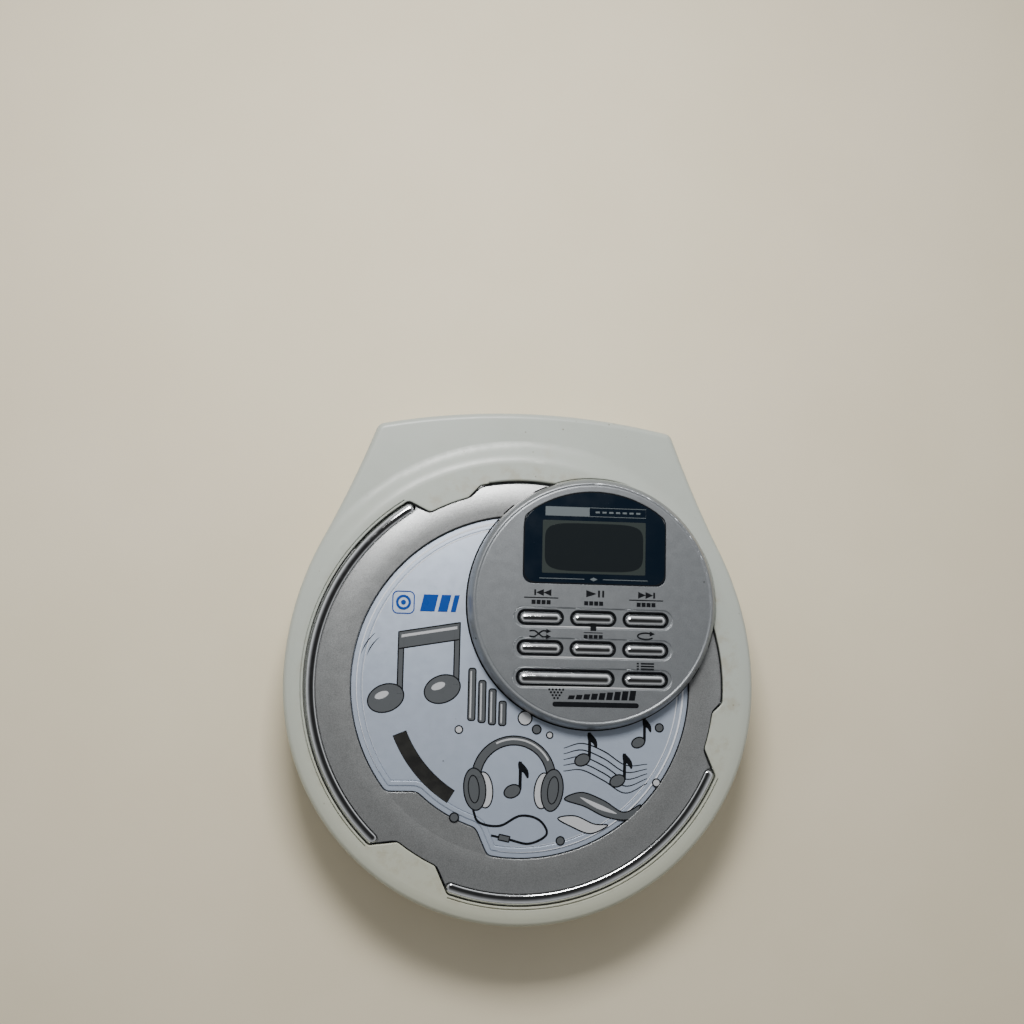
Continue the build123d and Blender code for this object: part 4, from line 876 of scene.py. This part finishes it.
# Headphones in the middle
PHONES_X, PHONES_Y = -1.8, -29.5
shape(arch(PHONES_X, PHONES_Y, 13.4, 10.6, 2, 176))
pale.fill(arch(PHONES_X, PHONES_Y, 12.7, 12.1, 28, 90))
for side in (-1, 1):
    shape(ellipse(PHONES_X + side * 9.3, PHONES_Y - 3.6, 2.7, 5.6, turn=-side * 6), pale)
    shape(ellipse(PHONES_X + side * 12.3, PHONES_Y - 3.4, 3.5, 6.6, turn=-side * 6))
    dark.line(ellipse(PHONES_X + side * 12.6, PHONES_Y - 3.4, 1.7, 4.3, turn=-side * 6), 0.35, closed=True)
cable = [(-14.5, -39.4), (-12.5, -43.2), (-6.0, -44.2), (0.5, -41.0),
         (6.5, -42.2), (9.0, -46.6), (3.5, -49.6), (-3.0, -48.4)]
dark.line(flowing(cable), 0.75)
shape([(-3.0, -49.2), (-2.6, -47.5), (-6.0, -46.8), (-6.4, -48.5)])
dark.line([(-6.2, -47.7), (-8.6, -47.2)], 0.7)
note(-2.2, -33.4, 2.7)

# A stave that waves to the right, with its notes, and two leaves below it
for rule in range(5):
    stave = [(14.0, -19.6 - rule * 1.8), (20.0, -18.0 - rule * 2.1), (27.0, -20.4 - rule * 2.3),
             (34.0, -24.6 - rule * 2.2), (41.0, -24.2 - rule * 1.5)]
    dark.line(flowing(stave), 0.4, taper=0.5)
upper_leaf = [(14.5, -35.6), (20.0, -33.4), (27.0, -35.8), (33.5, -39.4),
              (39.0, -37.0), (35.5, -41.6), (28.0, -41.0), (21.0, -37.8)]
shape(flowing(upper_leaf, closed=True))
pale.fill(flowing([(19.5, -34.9), (26.0, -37.2), (31.5, -40.0), (25.0, -38.4)], closed=True))
lower_leaf = [(12.5, -41.6), (18.0, -40.8), (24.0, -43.2), (28.5, -43.6), (23.0, -46.2), (17.0, -44.2)]
shape(flowing(lower_leaf, closed=True), pale)
note(20.0, -23.2, 2.5)
note(31.4, -29.6, 2.5)
note(38.0, -17.4, 2.2)

# Bubbles
for x, y, r, ink in (
    (1.4, -10.4, 2.2, pale),
    (5.2, -13.9, 1.4, grey),
    (9.4, -15.6, 1.0, pale),
    (-19.6, -14.4, 1.2, pale),
    (-20.4, -41.8, 1.4, grey),
    (44.8, -12.6, 1.3, grey),
    (13.4, -48.6, 1.3, grey),
    (44.0, -30.0, 1.2, pale),
):
    shape(ellipse(x, y, r, r, count=32), ink)
grey.done()
pale.done()
dark.done()

# A small blue mark: a ring with a dot, and three leaning bars
blue = PrintAndPaintedLight("label_mark", LABEL_TOP, INK_BLUE)
blue.line(rounded_box(-41.7, 21.9, -34.9, 28.9, 1.6), 0.35, closed=True)
blue.line(ellipse(-38.3, 25.4, 2.0, 2.0), 0.8, closed=True)
blue.fill(ellipse(-38.3, 25.4, 0.8, 0.8))
for bar, wide in ((-33.0, 4.6), (-27.3, 3.0), (-23.2, 1.6)):
    blue.fill(box_points(bar, 22.7, bar + wide, 28.1, lean=1.2))
blue.done()

# ---------------------------------------------------------------- floor, lights and camera


def make_floor():
    """A pale matt floor with faint mottling."""
    f = Finish("pale_floor", (0.88, 0.77, 0.57), 0.8)
    f.colour(f.mix(f.step(f.noise(60, detail=4), 0.3, 0.7), (0.88, 0.78, 0.58), (0.85, 0.75, 0.55)))
    f.bump(f.noise(0.8, detail=2), 0.02)
    return f.material


floor_mesh = bpy.data.meshes.new("floor")
floor_mesh.from_pydata([(-3, -3, 0), (3, -3, 0), (3, 3, 0), (-3, 3, 0)], [], [(0, 1, 2, 3)])
floor = new_object("floor", floor_mesh, make_floor())


def add_light(name, place, width, height, power, colour):
    """A rectangular lamp that shines on the object."""
    light = bpy.data.lights.new(name, "AREA")
    light.energy = power
    light.color = colour
    light.shape = "RECTANGLE"
    light.size = width
    light.size_y = height
    holder = bpy.data.objects.new(name, light)
    bpy.context.scene.collection.objects.link(holder)
    holder.location = place
    holder.rotation_euler = (Vector((0, 0, 0.02)) - Vector(place)).to_track_quat("-Z", "Y").to_euler()


add_light("key_light", (-0.045, 0.26, 0.36), 0.16, 0.11, 1.85, (1.0, 0.99, 0.97))
add_light("rear_glow", (0.0, 1.2, 0.55), 1.7, 0.30, 0.9, (0.97, 0.99, 1.0))


def make_world():
    """A dark studio with a soft bright band part way up its walls, brightest behind the object."""
    world = bpy.data.worlds.new("studio")
    bpy.context.scene.world = world
    world.use_nodes = True
    tree = world.node_tree
    backdrop = tree.nodes["Background"]
    backdrop.inputs["Color"].default_value = (0.97, 0.985, 1.0, 1)
    towards = tree.nodes.new("ShaderNodeSeparateXYZ")
    tree.links.new(tree.nodes.new("ShaderNodeTexCoord").outputs["Generated"], towards.inputs[0])

    def ramp(value, low, high, out_low, out_high):
        node = tree.nodes.new("ShaderNodeMapRange")
        node.interpolation_type = "SMOOTHSTEP"
        tree.links.new(value, node.inputs["Value"])
        for socket, number in zip(("From Min", "From Max", "To Min", "To Max"), (low, high, out_low, out_high)):
            node.inputs[socket].default_value = number
        return node.outputs["Result"]

    def times(a, b):
        node = tree.nodes.new("ShaderNodeMath")
        node.operation = "MULTIPLY"
        tree.links.new(a, node.inputs[0])
        tree.links.new(b, node.inputs[1])
        return node.outputs[0]

    height = towards.outputs["Z"]
    band = times(ramp(height, 0.26, 0.42, 0.0, 1.0), ramp(height, 0.56, 0.95, 1.0, 0.0))
    band = times(band, ramp(towards.outputs["Y"], -0.75, 0.85, 0.36, 0.80))
    strength = tree.nodes.new("ShaderNodeMath")
    strength.operation = "ADD"
    tree.links.new(band, strength.inputs[0])
    tree.links.new(ramp(height, 0.88, 0.98, 0.085, 0.025), strength.inputs[1])
    tree.links.new(strength.outputs[0], backdrop.inputs["Strength"])


make_world()

# The lens and the view: the camera looks down on the lid, leaning a little to the front left.
LENS_PIXELS = 1538.0
FRAME_PIXELS = 1024.0
TURN = Vector((-0.119, 0.103, -0.028))
SHIFT = Vector((3.046, -55.141, -489.837))

camera_data = bpy.data.cameras.new("camera")
camera_data.sensor_width = 36.0
camera_data.lens = camera_data.sensor_width * LENS_PIXELS / FRAME_PIXELS
camera_data.clip_end = 20.0
camera = bpy.data.objects.new("camera", camera_data)
bpy.context.scene.collection.objects.link(camera)
to_camera = Matrix.Rotation(TURN.length, 3, TURN.normalized())
from_camera = to_camera.transposed()
camera_place = from_camera @ (-SHIFT) + Vector((0, 0, LID_TOP))
camera.matrix_world = Matrix.LocRotScale(camera_place * MM, from_camera.to_quaternion(), None)
bpy.context.scene.camera = camera
